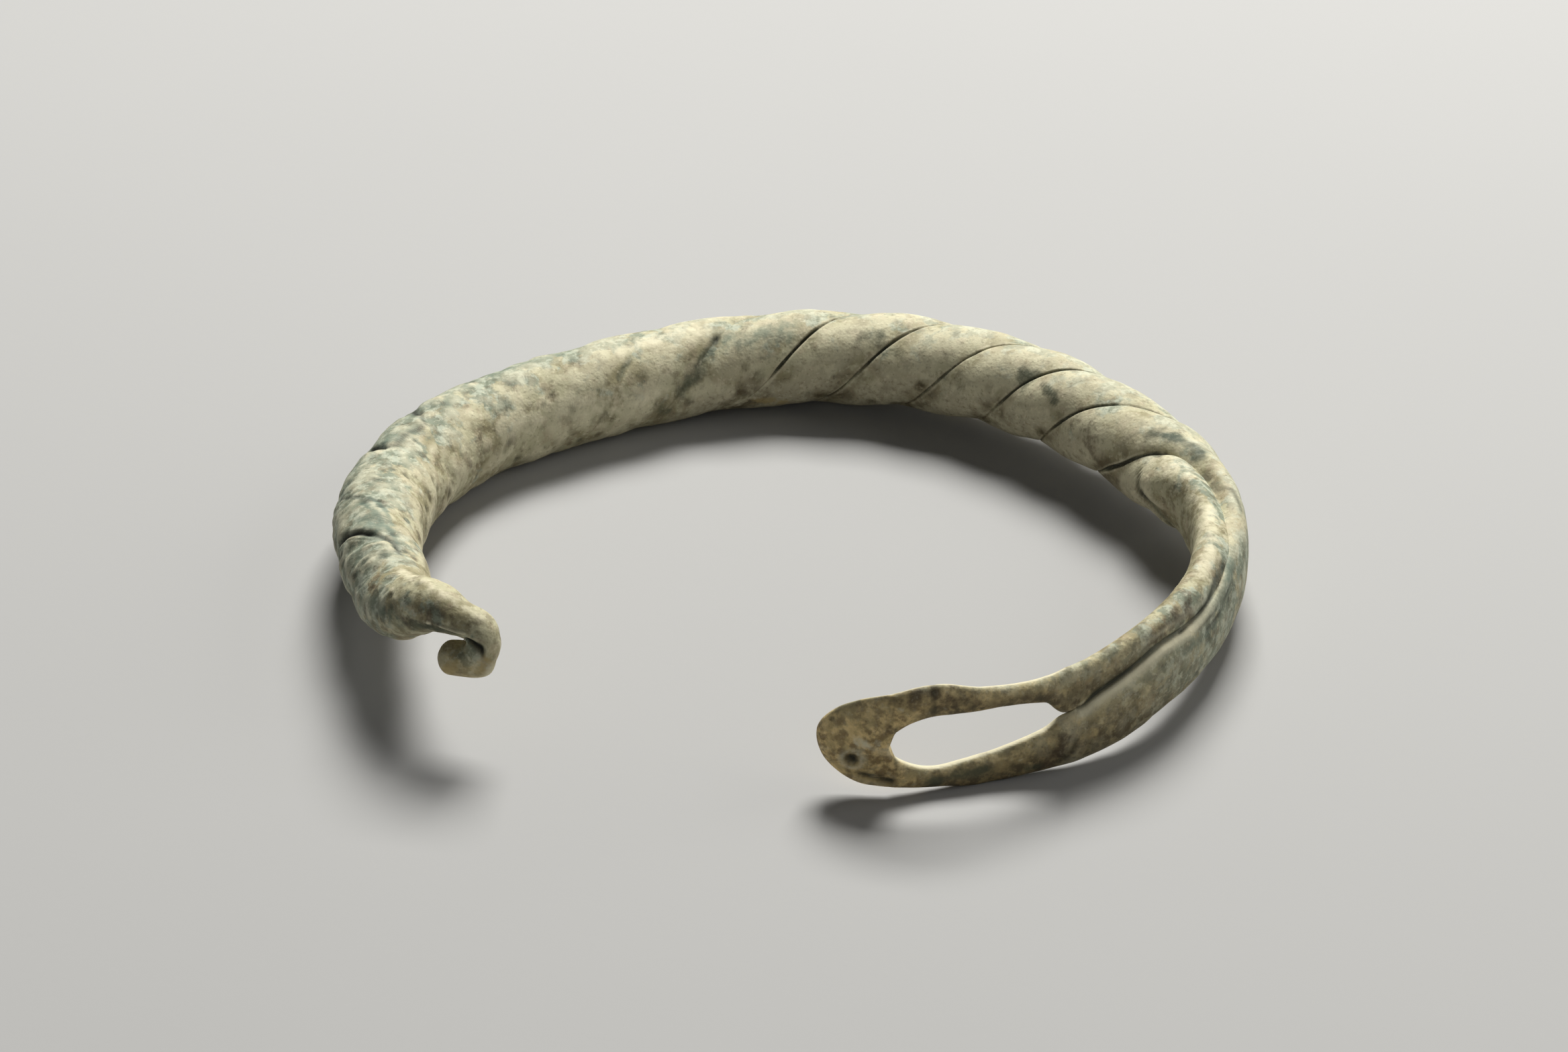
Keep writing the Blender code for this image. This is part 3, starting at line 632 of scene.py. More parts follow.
def scatter(cell, seed):
    """A random number from 0 to 1 for each whole-number cell, by multiplying and folding its bits."""
    mask = 0xFFFFFFFF
    mixed = cell[..., 0] * 73856093 ^ cell[..., 1] * 19349663 ^ cell[..., 2] * 83492791 ^ (seed * 26544357)
    mixed = (mixed ^ (mixed >> 13)) & mask
    mixed = (mixed * 1274126177) & mask
    mixed = ((mixed ^ (mixed >> 16)) * 668265263) & mask
    return (mixed ^ (mixed >> 15)) / mask


def field(points, size, seed):
    """Smooth random field from -1 to 1: random values at the corners of cells of that size, blended."""
    place = points / size + seed * 3.71
    cell = np.floor(place).astype(np.int64)
    share = place - cell
    share = share * share * (3 - 2 * share)
    total = np.zeros(len(points))
    for corner in np.ndindex(2, 2, 2):
        corner = np.array(corner)
        weight = np.prod(np.where(corner == 1, share, 1 - share), axis=1)
        total += weight * scatter(cell + corner, seed)
    return 2 * total - 1


def layered(points, size, seed, layers):
    """Fields of halving size and halving strength, added."""
    total = sum(field(points, size / 2**k, seed + k) / 2**k for k in range(layers))
    return total / sum(0.5**k for k in range(layers))


def dots(points, size, share, seed):
    """Rounded spots, one in some of the cells of that size: 1 in the middle of a spot, 0 outside it."""
    place = points / size + seed * 1.37
    cell = np.floor(place).astype(np.int64)
    best = np.zeros(len(points))
    for step in np.ndindex(3, 3, 3):
        near = cell + np.array(step) - 1
        centre = np.stack([scatter(near, seed + k) for k in (1, 2, 3)], axis=1) + near
        radius = 0.15 + 0.30 * scatter(near, seed + 4)
        there = scatter(near, seed + 5) < share
        away = np.linalg.norm(place - centre, axis=1) / radius
        best = np.maximum(best, np.where(there, np.clip(1 - away**2, 0, 1), 0))
    return best


# --- The grid -----------------------------------------------------------------

class Grid:
    """The bracelet's rings as one set of points: where each is, and where on the bracelet it is.

    along is the distance from the eye's tip, angle the direction round the
    section, seam the distance to each of the three grooves, part the number of
    the tube that the point belongs to."""

    BODY, HEAD, UPPER, LOWER = range(4)

    def __init__(self):
        self.points, self.along, self.angle, self.seam, self.part = [], [], [], [], []
        self.count = 0
        self.faces = []

    def add(self, part, s, points, angle, seam):
        """Adds a block of rings, and returns the numbers of its points as a table of rings by columns."""
        rows, columns = points.shape[:2]
        numbers = self.count + np.arange(rows * columns).reshape(rows, columns)
        self.count += rows * columns
        self.points.append(points.reshape(-1, 3))
        self.along.append(np.repeat(s, columns))
        self.angle.append(np.degrees(angle).reshape(-1))
        self.seam.append(seam.reshape(-1, 3))
        self.part.append(np.full(rows * columns, part))
        return numbers

    def skin(self, numbers):
        """Two triangles between each point, the next one round and the next ring."""
        near, far = numbers[:-1], numbers[1:]
        near_next, far_next = np.roll(near, -1, axis=1), np.roll(far, -1, axis=1)
        self.faces.append(np.stack([near, far, far_next], axis=-1).reshape(-1, 3))
        self.faces.append(np.stack([near, far_next, near_next], axis=-1).reshape(-1, 3))

    def close(self):
        """Drops the triangles without area and the points that nothing uses, and turns all faces outwards."""
        faces = np.concatenate(self.faces)
        a, b, c = faces.T
        faces = faces[(a != b) & (b != c) & (a != c)]
        used, faces = np.unique(faces, return_inverse=True)
        self.faces = faces.reshape(-1, 3)
        for name in ("points", "along", "angle", "seam", "part"):
            setattr(self, name, np.concatenate(getattr(self, name))[used])
        corners = self.points[self.faces]
        if np.linalg.det(corners).sum() < 0:
            self.faces = self.faces[:, ::-1]
        ends = np.concatenate([self.faces[:, [0, 1]], self.faces[:, [1, 2]], self.faces[:, [2, 0]]])
        self.edges = np.unique(np.sort(ends, axis=1), axis=0)

    def spread(self, values):
        """Each point's mean over its neighbours."""
        a, b = self.edges.T
        count = len(values)
        total = np.zeros_like(values)
        for k in range(values.shape[1]):
            total[:, k] = np.bincount(a, values[b, k], count) + np.bincount(b, values[a, k], count)
        neighbours = np.bincount(a, minlength=count) + np.bincount(b, minlength=count)
        return total / neighbours[:, None]

    def smooth(self, values, times):
        """Values of one number a point, averaged with their neighbours again and again."""
        values = values[:, None]
        for _ in range(times):
            values = (values + self.spread(values)) / 2
        return values[:, 0]

    def normals(self):
        """The outward direction at each point: the sum of its triangles' normals."""
        corners = self.points[self.faces]
        across = np.cross(corners[:, 1] - corners[:, 0], corners[:, 2] - corners[:, 0])
        total = np.zeros_like(self.points)
        for k in range(3):
            for axis in range(3):
                total[:, axis] += np.bincount(self.faces[:, k], across[:, axis], len(total))
        return unit(total)


def seam_distances(rings, columns):
    """Distance of each point from the three grooves, measured round its ring."""
    lengths = np.linalg.norm(np.roll(rings, -1, axis=1) - rings, axis=2)
    along = np.cumsum(lengths, axis=1) - lengths
    total = lengths.sum(axis=1)[:, None]
    found = []
    for k in range(3):
        gap = np.abs(along - along[:, k * columns][:, None])
        found.append(np.minimum(gap, total - gap))
    return np.stack(found, axis=-1)


def fine_grid():
    """The whole bracelet: rod, end of the curl, head and two bars, sharing the points where they meet."""
    grid = Grid()
    columns, wall = STRAND_COLUMNS, WALL_COLUMNS
    curl = ALONG[CURL_START] - CURL_LEAD
    no_seam = np.full(3, NO_SEAM)

    s = np.concatenate([
        rows_between(SPLIT, CRUST, ROW)[:-1], rows_between(CRUST, curl, CRUST_ROW)[:-1],
        rows_between(curl, LENGTH, CURL_ROW),
    ])
    x, y = body_section(s, columns)
    rings = placed(s, x, y)
    body = grid.add(Grid.BODY, s, rings, np.arctan2(y, x), seam_distances(rings, columns))

    turns = np.radians(np.linspace(0, 90, TIP_ROWS + 1)[1:])
    last = rings[-1]
    centre = last.mean(axis=0)
    ahead = unit(cubic(ALONG, KNOTS, [LENGTH]) - cubic(ALONG, KNOTS, [LENGTH - 1e-3]))[0]
    radius = np.linalg.norm(last - centre, axis=1).mean()
    shrink, reach = np.cos(turns)[:, None, None], np.sin(turns)[:, None, None]
    cap = centre + (last - centre) * shrink + ahead * radius * TIP_BLUNT * reach
    ends = LENGTH + radius * TIP_BLUNT * np.sin(turns)
    tip_angle = np.repeat(np.arctan2(y[-1:], x[-1:]), TIP_ROWS, axis=0)
    tip = grid.add(Grid.BODY, ends, cap, tip_angle, np.broadcast_to(no_seam, cap.shape))
    tip[-1] = tip[-1, 0]
    grid.skin(np.vstack([body, tip]))

    s = np.append(HEAD_ROUND * (1 - np.cos(np.radians(np.linspace(0, 90, HEAD_ROWS)))), MERGE)
    x, y = head_section(s, columns)
    rings = placed(s, x, y)
    head = grid.add(Grid.HEAD, s, rings, np.arctan2(y, x), np.broadcast_to(no_seam, rings.shape))
    head[0] = head[0, 0]
    grid.skin(head)

    fillet = MERGE + SLOT_END * (1 - np.cos(np.radians(np.arange(*SLOT_END_TURNS))))
    s = np.concatenate([fillet, rows_between(fillet[-1], SPLIT, BAR_ROW)[1:]])
    kinds, outer = (Grid.UPPER, Grid.LOWER), outer_columns(columns)
    bars_made = []
    for part, columns_out, (x, y) in zip(kinds, outer, bar_sections(s, columns, wall)):
        rings = placed(s, x, y)
        numbers = grid.add(part, s, rings, np.arctan2(y, x), np.broadcast_to(no_seam, rings.shape))
        for row, meets in ((0, head[-1]), (-1, body[0])):
            numbers[row, : len(columns_out)] = meets[columns_out]
        bars_made.append(numbers)
    upper, lower = bars_made
    for row in (0, -1):
        lower[row, columns + 1:] = upper[row, 2 * columns + 1:][::-1]
    grid.skin(upper)
    grid.skin(lower)
    grid.close()
    return grid


# --- Wear and crust -----------------------------------------------------------

def near_path(x, y, path):
    """Distance of each point (x, y) from a line through the path's points."""
    path = np.array(path, float)
    if len(path) == 1:
        return np.hypot(x - path[0, 0], y - path[0, 1])
    nearest = np.full(len(x), np.inf)
    for (x0, y0), (x1, y1) in zip(path, path[1:]):
        dx, dy = x1 - x0, y1 - y0
        share = np.clip(((x - x0) * dx + (y - y0) * dy) / (dx * dx + dy * dy), 0, 1)
        nearest = np.minimum(nearest, np.hypot(x - x0 - share * dx, y - y0 - share * dy))
    return nearest


def rod_place(grid, path):
    """The grid and a path unrolled flat: distance along, and distance round from the path's own middle."""
    path = np.array(path, float)
    round_ = np.degrees(np.unwrap(np.radians(path[:, 1])))
    middle = round_.mean()
    on_finger = path[0, 0] > ALONG[FINGER_START]
    reach = FINGER_REACH if on_finger else by_bearing(ROD_RADIUS, path[:1, 0])[0, 0]
    turn = (grid.angle - middle + 180) % 360 - 180
    flat = np.stack([path[:, 0], np.radians(round_ - middle) * reach], axis=1)
    return grid.along, np.radians(turn) * reach, flat


def bell(distance, width):
    """1 at no distance, falling smoothly to nearly nothing at twice the width."""
    return np.exp(-((distance / width) ** 2))


def plateau(distance, width):
    """1 in the middle, falling smoothly to 0 half as far again as the width."""
    return 1 - ease(distance / (width * 1.5))


class Finish:
    """What the crust and the wear do at each point, with painted shade in cuts and pits: how far it stands
    out, and how much of each colour.
    """

    PATCHES = ("moss", "teal", "umber", "sand", "pale")
    PALENESS = {"fill": 0.0, "ridge": 0.5, "grain": 1.0}  # of the marks that stand out

    def __init__(self, grid):
        self.height = np.zeros(len(grid.points))
        self.colour = {name: np.zeros(len(grid.points)) for name in ("dirt_and_shade", *self.PATCHES)}

    def paint(self, name, amount):
        self.colour[name] = np.maximum(self.colour[name], amount)

    def mark(self, kind, distance, width, amount):
        """One mark, by its distance from each point: a colour, or something cut in or standing out."""
        near = bell(distance, width)
        if kind in self.PATCHES:
            self.paint(kind, amount * plateau(distance, width))
        elif kind in ("cut", "pit"):
            self.height -= amount * near
            # A cut or a pit is darkened with dirt and painted shade.
            deep = min(1.0, 0.45 + 2 * amount)
            self.paint("dirt_and_shade", deep * bell(distance, width * 1.25))
        elif kind == "valley":
            self.height -= amount * near
            self.paint("moss", 0.75 * near)
        elif kind == "ring":
            rim = bell(np.abs(distance - width), width * 0.3)
            self.height += amount * rim
            self.paint("pale", 0.5 * rim)
        else:
            self.height += amount * near
            self.paint("pale", self.PALENESS[kind] * near)

    def press(self, mark, distance, here, frayed, wander):
        """A mark from a table, where it belongs. A patch of colour has a frayed edge."""
        kind, width, amount, _ = mark
        width = max(width, FINEST)
        edge = frayed * (0.4 + width) if kind in self.PATCHES else wander
        distance = distance + np.where(here, 0.0, OUT_OF_REACH) + edge
        self.mark(kind, np.abs(distance), width, amount)


def cut_seams(grid, finish, wander):
    """The narrow cuts between the strands, darkened with dirt and painted shade. How deep and how dark they
    are changes along the rod.
    """
    depth, dirt_and_shade, filled = by_bearing(SEAM_CUT, grid.along).T
    extra = np.zeros(len(grid.along))
    for kind, width, amount, path in ROD_MARKS:
        if kind == "seam":
            extra = np.maximum(extra, amount * plateau(near_path(*rod_place(grid, path)), width * 1.6))
    patchy = np.clip(0.80 + 1.3 * field(grid.points, size=2.2, seed=31), 0.05, 1.6)
    groove_darkness = dirt_and_shade * patchy
    on_body = grid.part == Grid.BODY
    ends = ease((ALONG[FINGER_START] + 1.0 - grid.along) / 6.0)
    third = ease((grid.along - STUMP) / 1.5)
    for k in range(3):
        distance = np.abs(grid.seam[:, k] + SEAM_WANDER * wander)
        share = on_body * ends * (third if k == 1 else 1.0)
        finish.height -= share * (depth * patchy + SEAM_DEEPEST * extra) * bell(distance, SEAM_WIDTH)
        finish.height += share * filled * bell(distance, SEAM_FILL_WIDTH)
        # Dirt, and painted shade, in the bottom of each groove.
        finish.paint("dirt_and_shade", share * np.clip(groove_darkness + extra, 0, 1) * bell(distance, SEAM_WIDTH * 1.15))
        finish.paint("moss", share * 0.60 * np.clip(groove_darkness, 0, 1) * bell(distance, SEAM_MOSS_WIDTH))


def stump(grid, finish):
    """The third strand's broken end: a groove along its edge, and beyond it the inner strand's start."""
    path = [(at_bearing(bearing)[0], angle) for bearing, angle in STUMP_EDGE]
    x, y, flat = rod_place(grid, path)
    on_body = (grid.part == Grid.BODY) * 1.0
    edge = np.interp(y, flat[:, 1], flat[:, 0])
    first, step_from, ball_to, last = flat[[0, 3, 5, -1], 1]
    beyond = edge - x
    inside = ease((y - first) / 0.6) * ease((last + 2.0 - y) / 1.5) * on_body
    lower = ease(beyond / 0.3) * ease((6.0 - beyond) / 5.0) * ease((y - step_from) / 1.0)
    finish.height -= STUMP_GROOVE * inside * bell(beyond, 0.24)
    finish.height -= STUMP_STEP * inside * lower
    finish.height += STUMP_BALL * inside * bell(beyond - 1.5, 1.1) * ease((ball_to - y) / 1.5)
    # Dirt, and painted shade, in the groove along the broken edge.
    finish.paint("dirt_and_shade", 0.55 * inside * bell(beyond, 0.28))


def weather(grid, finish):
    """Lumps, flakes, grains and pits all over, rougher where the crust is thick."""
    p = grid.points
    thick = rise(grid.along, *THICK_CRUST) * 0.75 + 0.25
    hook = 0.75 - 0.4 * rise(grid.along, *WORN_HOOK)
    thick = np.where(grid.along > ALONG[FINGER_START], hook, thick)
    eye = 1 - rise(grid.along, *CLEAN_EYE)
    lumps = np.abs(field(p, size=2.1, seed=71))
    lumps = lumps + 0.5 * np.abs(field(p, size=1.05, seed=72)) + 0.25 * np.abs(field(p, size=0.55, seed=73))
    flakes = ease((layered(p, size=1.25, seed=12, layers=3) - 0.02) / 0.22)
    more_pits = dots(p, size=1.15, share=0.30, seed=43) * ease((thick - 0.35) / 0.3)
    pits = np.maximum(dots(p, size=1.5, share=0.16, seed=41), more_pits)
    grains = dots(p, size=1.1, share=0.20, seed=53)
    rust = dots(p, size=2.1, share=0.40, seed=47)

    finish.height += 0.09 * layered(p, size=4.6, seed=3, layers=2) * (1 - 0.6 * eye)
    finish.height += (0.022 + 0.055 * thick) * layered(p, size=1.7, seed=7, layers=3)
    finish.height += (0.02 + 0.24 * thick) * (lumps - 0.6) * (1 - 0.6 * eye)
    finish.height += 0.04 * thick * flakes
    finish.height += 0.06 * thick * grains - 0.13 * (0.35 + thick) * pits
    # The pits are darkened with dirt and painted shade.
    finish.paint("dirt_and_shade", 0.60 * pits * (0.4 + 0.6 * thick))
    finish.paint("umber", 0.50 * ease(rust / 0.6) * ease((thick - 0.3) / 0.3))
    finish.paint("pale", 0.5 * grains)


def weathered_grid():
    """The fine grid with its wear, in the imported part's frame, and its colour masks."""
    grid = fine_grid()
    finish = Finish(grid)
    wander = layered(grid.points, size=1.8, seed=21, layers=2)
    frayed = 0.30 * layered(grid.points, size=1.1, seed=17, layers=2)
    on_body = grid.part == Grid.BODY
    stump(grid, finish)
    for mark in ROD_MARKS:
        if mark[0] != "seam":
            distance = near_path(*rod_place(grid, mark[-1]))
            finish.press(mark, distance, on_body, frayed, 0.06 * wander)
    point, out, _ = axes(np.clip(grid.along, 0, LENGTH))
    outside = ((grid.points - point) * out).sum(axis=1) > -0.2
    for mark in EYE_MARKS:
        distance = near_path(grid.along, grid.points[:, 2], mark[-1])
        finish.press(mark, distance, ~on_body & outside, frayed, 0.04 * wander)
    weather(grid, finish)
    finish.height = grid.smooth(finish.height, 2)
    cut_seams(grid, finish, wander)

    grid.points = grid.points + finish.height[:, None] * grid.normals()
    low, high = grid.points.min(axis=0), grid.points.max(axis=0)
    box_low, box_high = (np.array(corner) / MM for corner in NODE_BOX)
    shift = (box_low + box_high) / 2 - (low + high) / 2
    shift[2] = -low[2] - GROUND_FLAT
    grid.points += shift
    grid.points[:, 2] = np.maximum(grid.points[:, 2], 0.0)

    hollow = ((grid.spread(grid.points) - grid.points) * grid.normals()).sum(axis=1)
    fine = grid.smooth(hollow, 2)
    wide = grid.smooth(hollow, 14)
    sunk = np.clip((fine - 0.001) / 0.008, 0, 1) * 0.7 + np.clip(wide / 0.006, 0, 1) * 0.3
    finish.colour["hollow"] = sunk * steady(*zip(*HOLLOWS), grid.along)
    finish.colour["crest"] = np.clip((-fine - 0.008) / 0.010, 0, 1)
    return grid, finish


# --- Materials ----------------------------------------------------------------

def socket_in(group, name, kind, value):
    """One more input of a node group, with what it is when nothing else is given."""
    made = group.interface.new_socket(name, in_out="INPUT", socket_type=kind)
    made.default_value = value


class Nodes:
    """Short ways to add nodes to a tree and join them."""

    def __init__(self, tree):
        self.tree = tree

    def new(self, kind, inputs=None, **settings):
        node = self.tree.nodes.new(kind)
        for name, value in settings.items():
            setattr(node, name, value)
        for name, value in (inputs or {}).items():
            if isinstance(value, bpy.types.NodeSocket):
                self.tree.links.new(value, node.inputs[name])
            else:
                node.inputs[name].default_value = value
        return node

    def math(self, operation, a, b, clamp=False):
        node = self.new("ShaderNodeMath", {0: a, 1: b}, operation=operation, use_clamp=clamp)
        return node.outputs[0]

    def plus(self, a, b):
        return self.math("ADD", a, b)

    def less(self, a, b):
        return self.math("SUBTRACT", a, b)

    def times(self, a, b):
        return self.math("MULTIPLY", a, b)

    def ramp(self, value, low, high):
        """0 up to low, 1 from high, eased between."""
        node = self.new("ShaderNodeMapRange", {"Value": value, "From Min": low, "From Max": high},
                        interpolation_type="SMOOTHSTEP")
        return node.outputs["Result"]

    def mix(self, share, a, b):
        node = self.new("ShaderNodeMix", {"Factor": share}, data_type="RGBA")
        for index, colour in ((6, a), (7, b)):
            if isinstance(colour, bpy.types.NodeSocket):
                self.tree.links.new(colour, node.inputs[index])
            else:
                node.inputs[index].default_value = (*colour, 1.0)
        return node.outputs[2]

    def attribute(self, name):
        return self.new("ShaderNodeAttribute", attribute_name=name, attribute_type="GEOMETRY").outputs["Fac"]

    def noise(self, place, size, detail, rough):
        """Noise whose blobs are about that many millimetres, on coordinates in metres."""
        node = self.new("ShaderNodeTexNoise",
                        {"Vector": place, "Scale": 1 / (size * MM), "Detail": detail, "Roughness": rough})
        return node.outputs["Fac"]

    def group(self, tree, inputs):
        """A node group in use. It is given its tree before its inputs, which the tree defines."""
        return self.new("ShaderNodeGroup", inputs, node_tree=tree)

    def bump(self, shader, height, strength, depth):
        """Gives a shader fine relief: that deep where the height goes from 0 to 1."""
        node = self.new("ShaderNodeBump", {"Height": height, "Strength": strength, "Distance": depth})
        self.tree.links.new(node.outputs["Normal"], shader.inputs["Normal"])


def grain_group():
    """Fine grain of a crust or a floor: a height, from a noise and small round grains."""
    group = bpy.data.node_groups.new("fine_grain", "ShaderNodeTree")
    socket_in(group, "Place", "NodeSocketVector", (0.0, 0.0, 0.0))
    socket_in(group, "Grain Scale", "NodeSocketFloat", 4000.0)
    socket_in(group, "Grit", "NodeSocketFloat", 0.5)
    group.interface.new_socket("Height", in_out="OUTPUT", socket_type="NodeSocketFloat")
    n = Nodes(group)
    given = n.new("NodeGroupInput").outputs
    coarse = n.new("ShaderNodeTexNoise", {"Vector": given["Place"], "Detail": 4.0, "Roughness": 0.62})
    group.links.new(n.times(given["Grain Scale"], 0.35), coarse.inputs["Scale"])
    cells = n.new("ShaderNodeTexVoronoi", {"Vector": given["Place"], "Scale": given["Grain Scale"]})
    grit = n.times(n.math("SUBTRACT", 0.6, cells.outputs["Distance"], clamp=True), given["Grit"])
    total = n.plus(coarse.outputs["Fac"], grit)
    result = n.new("NodeGroupOutput")
    group.links.new(total, result.inputs["Height"])
    return group


def spots_group():
    """Blotches with frayed edges: a mask, 1 in a blotch. Cover is the share of the surface that they take."""
    group = bpy.data.node_groups.new("frayed_blotches", "ShaderNodeTree")
    socket_in(group, "Place", "NodeSocketVector", (0.0, 0.0, 0.0))
    socket_in(group, "Blotch Scale", "NodeSocketFloat", 500.0)
    socket_in(group, "Cover", "NodeSocketFloat", 0.5)
    socket_in(group, "Softness", "NodeSocketFloat", 0.1)
    group.interface.new_socket("Mask", in_out="OUTPUT", socket_type="NodeSocketFloat")
    n = Nodes(group)
    given = n.new("NodeGroupInput").outputs
    noise = n.new("ShaderNodeTexNoise", {"Vector": given["Place"], "Scale": given["Blotch Scale"],
                                         "Detail": 5.0, "Roughness": 0.6})
    edge = n.less(0.75, n.times(given["Cover"], 0.5))
    low, high = n.less(edge, given["Softness"]), n.plus(edge, given["Softness"])
    mask = n.ramp(noise.outputs["Fac"], low, high)
    result = n.new("NodeGroupOutput")
    group.links.new(mask, result.inputs["Mask"])
    return group


def patina_material(colours, grain, spots):
    """Bronze under an old mineral crust: pale grey-green outside, cream and tan inside, olive at the eye."""
    material = bpy.data.materials.new("patinated_bronze_crust")
    material.use_nodes = True
    tree = material.node_tree
    shader = tree.nodes["Principled BSDF"]
    n = Nodes(tree)
    place = n.new("ShaderNodeTexCoord").outputs["Object"]

    def blotches(size, cover, softness, seed):
        """A mask of blotches of about that many millimetres. The seed moves them over the surface."""
        shift = (seed * 0.37, seed * 0.19, seed * 0.53)
        moved = n.new("ShaderNodeMapping", {"Vector": place, "Location": shift})
        given = {"Place": moved.outputs["Vector"], "Blotch Scale": 1 / (size * MM),
                 "Softness": softness, "Cover": cover}
        return n.group(spots, given).outputs["Mask"]

    c = colours
    green, olive, low = n.attribute("greenness"), n.attribute("oliveness"), n.attribute("painted_shade_below")

    # Crust: cream and tan, rose in places, and green where it faces outwards.
    base = n.mix(blotches(2.8, cover=0.46, softness=0.045, seed=1), c.cream, c.tan)
    rosy = blotches(1.3, cover=0.36, softness=0.045, seed=2)
    base = n.mix(n.times(rosy, 0.42), base, c.rose)
    greened = n.mix(blotches(1.1, cover=0.45, softness=0.045, seed=3), c.grey_green, c.pale_green)
    base = n.mix(n.times(blotches(2.2, cover=green, softness=0.05, seed=4), 0.85), base, greened)

    # Olive bronze where the crust is off.
    bronze = n.mix(blotches(0.8, cover=0.5, softness=0.11, seed=6), c.olive, c.olive_dark)
    sandy = blotches(1.9, cover=0.42, softness=0.09, seed=10)
    bronze = n.mix(n.times(sandy, 0.8), bronze, c.sand)
    base = n.mix(n.times(olive, 0.94), base, bronze)

    # Thin crust in blotches, more of them on what faces down, then khaki as painted shade on what faces down.
    thin = blotches(1.15, cover=n.plus(0.36, n.times(low, 0.15)), softness=0.07, seed=5)
    base = n.mix(n.times(thin, n.less(0.5, n.times(olive, 0.38))), base, c.khaki_and_shade)
    mottled = n.plus(0.50, n.times(blotches(0.9, cover=0.5, softness=0.09, seed=11), 0.50))
    base = n.mix(n.times(low, mottled), base, c.khaki_and_shade)

    # Dark green hollows and pale crests, then fine specks of umber and pale.
    base = n.mix(n.times(n.attribute("hollow"), 0.62), base, c.moss)
    base = n.mix(n.times(n.attribute("crest"), 0.40), base, c.pale)
    # More umber specks and fewer pale ones in the painted shade on what faces down.
    rusty = blotches(0.36, cover=n.plus(0.24, n.times(low, 0.1)), softness=0.06, seed=8)
    base = n.mix(n.times(rusty, 0.34), base, c.umber)
    speckled = blotches(0.40, cover=0.28, softness=0.06, seed=9)
    strength = n.less(n.less(0.34, n.times(olive, 0.2)), n.times(low, 0.15))
    base = n.mix(n.times(speckled, strength), base, c.pale)

    frayed = n.noise(place, size=0.8, detail=4.0, rough=0.58)

    def patch(name, breaks):
        """A patch's mask, broken up by the noise. With more breaks the whole patch is mottled."""
        value = n.plus(n.attribute(name), n.times(n.less(frayed, 0.5), breaks))
        return n.times(n.ramp(value, 0.18, 1.0), 0.80)

    for name, breaks in (("sand", 2.4), ("umber", 2.6), ("teal", 1.3), ("moss", 1.2), ("pale", 2.0)):
        base = n.mix(patch(name, breaks), base, getattr(c, name))
    # Painted highlight in pale along the bars' upper edges and beside the slot's far end.
    base = n.mix(n.times(n.attribute("rim"), 0.85), base, c.pale)
    # Dirt, and painted shade, in the grooves, cuts and pits.
    base = n.mix(n.attribute("dirt_and_shade"), base, c.dirt_and_shade)
    tree.links.new(base, shader.inputs["Base Color"])

    height = n.group(grain, {"Place": place, "Grain Scale": 1 / (0.28 * MM), "Grit": 0.25})
    n.bump(shader, height.outputs["Height"], strength=0.55, depth=0.14 * MM)
    rough = n.plus(0.62, n.times(frayed, 0.26))
    tree.links.new(rough, shader.inputs["Roughness"])
    shader.inputs["Specular IOR Level"].default_value = 0.35
    return material


def floor_material(colour, grain):
    """Matt pale paper."""
    material = bpy.data.materials.new("pale_paper")
    material.use_nodes = True
    tree = material.node_tree
    shader = tree.nodes["Principled BSDF"]
    n = Nodes(tree)
    place = n.new("ShaderNodeTexCoord").outputs["Object"]
    shade = n.noise(place, size=60.0, detail=2.0, rough=0.55)
    tree.links.new(n.mix(shade, colour, [v * 0.97 for v in colour]), shader.inputs["Base Color"])
    height = n.group(grain, {"Place": place, "Grain Scale": 1 / (0.8 * MM)})
    n.bump(shader, height.outputs["Height"], strength=0.05, depth=0.1 * MM)
    shader.inputs["Roughness"].default_value = 0.9
    shader.inputs["Specular IOR Level"].default_value = 0.2
    return material


# --- Settings that a user would change ---------------------------------------

def colour_property(name, description, default):
    return bpy.props.FloatVectorProperty(
        name=name, description=description, default=default, size=3, min=0.0, max=1.0, subtype="COLOR")


class BraceletPatina(bpy.types.PropertyGroup):
    """Colours of the crust."""

    cream: colour_property("Cream", "Thin pale crust on the inner side", (0.495, 0.470, 0.305))
    tan: colour_property("Tan", "Warmer crust between the cream", (0.315, 0.285, 0.165))
    rose: colour_property("Rose", "Faintly pink blotches", (0.430, 0.350, 0.235))
    # Khaki is also the painted shade on the faces that look down.
    khaki_and_shade: colour_property("Khaki", "Thin crust over the metal", (0.105, 0.083, 0.041))
    grey_green: colour_property("Grey green", "Crust on the outer side", (0.200, 0.240, 0.180))
    pale_green: colour_property("Pale green", "Lighter crust on the outer side", (0.440, 0.485, 0.385))
    teal: colour_property("Verdigris", "Blue-green corrosion", (0.150, 0.205, 0.160))
    moss: colour_property("Dark green", "Dark green corrosion beside the grooves", (0.042, 0.058, 0.036))
    umber: colour_property("Umber", "Reddish-brown oxide", (0.070, 0.048, 0.026))
    sand: colour_property("Sand", "Yellow-brown earth", (0.400, 0.310, 0.140))
    # Pale is also a painted highlight along some edges and tops.
    pale: colour_property("Pale", "Rubbed edges and grains", (0.760, 0.710, 0.510))
    olive: colour_property("Olive", "Bronze showing at the eye", (0.800, 0.600, 0.270))
    olive_dark: colour_property("Dark olive", "Darker bronze at the eye", (0.270, 0.185, 0.076))
    # Dirt is also the painted shade in the grooves, cuts and pits.
    dirt_and_shade: colour_property("Dirt", "What fills the grooves", (0.012, 0.013, 0.008))


def power_property(name, description, default):
    return bpy.props.FloatProperty(
        name=name, description=description, default=default, min=0.0, unit="POWER")


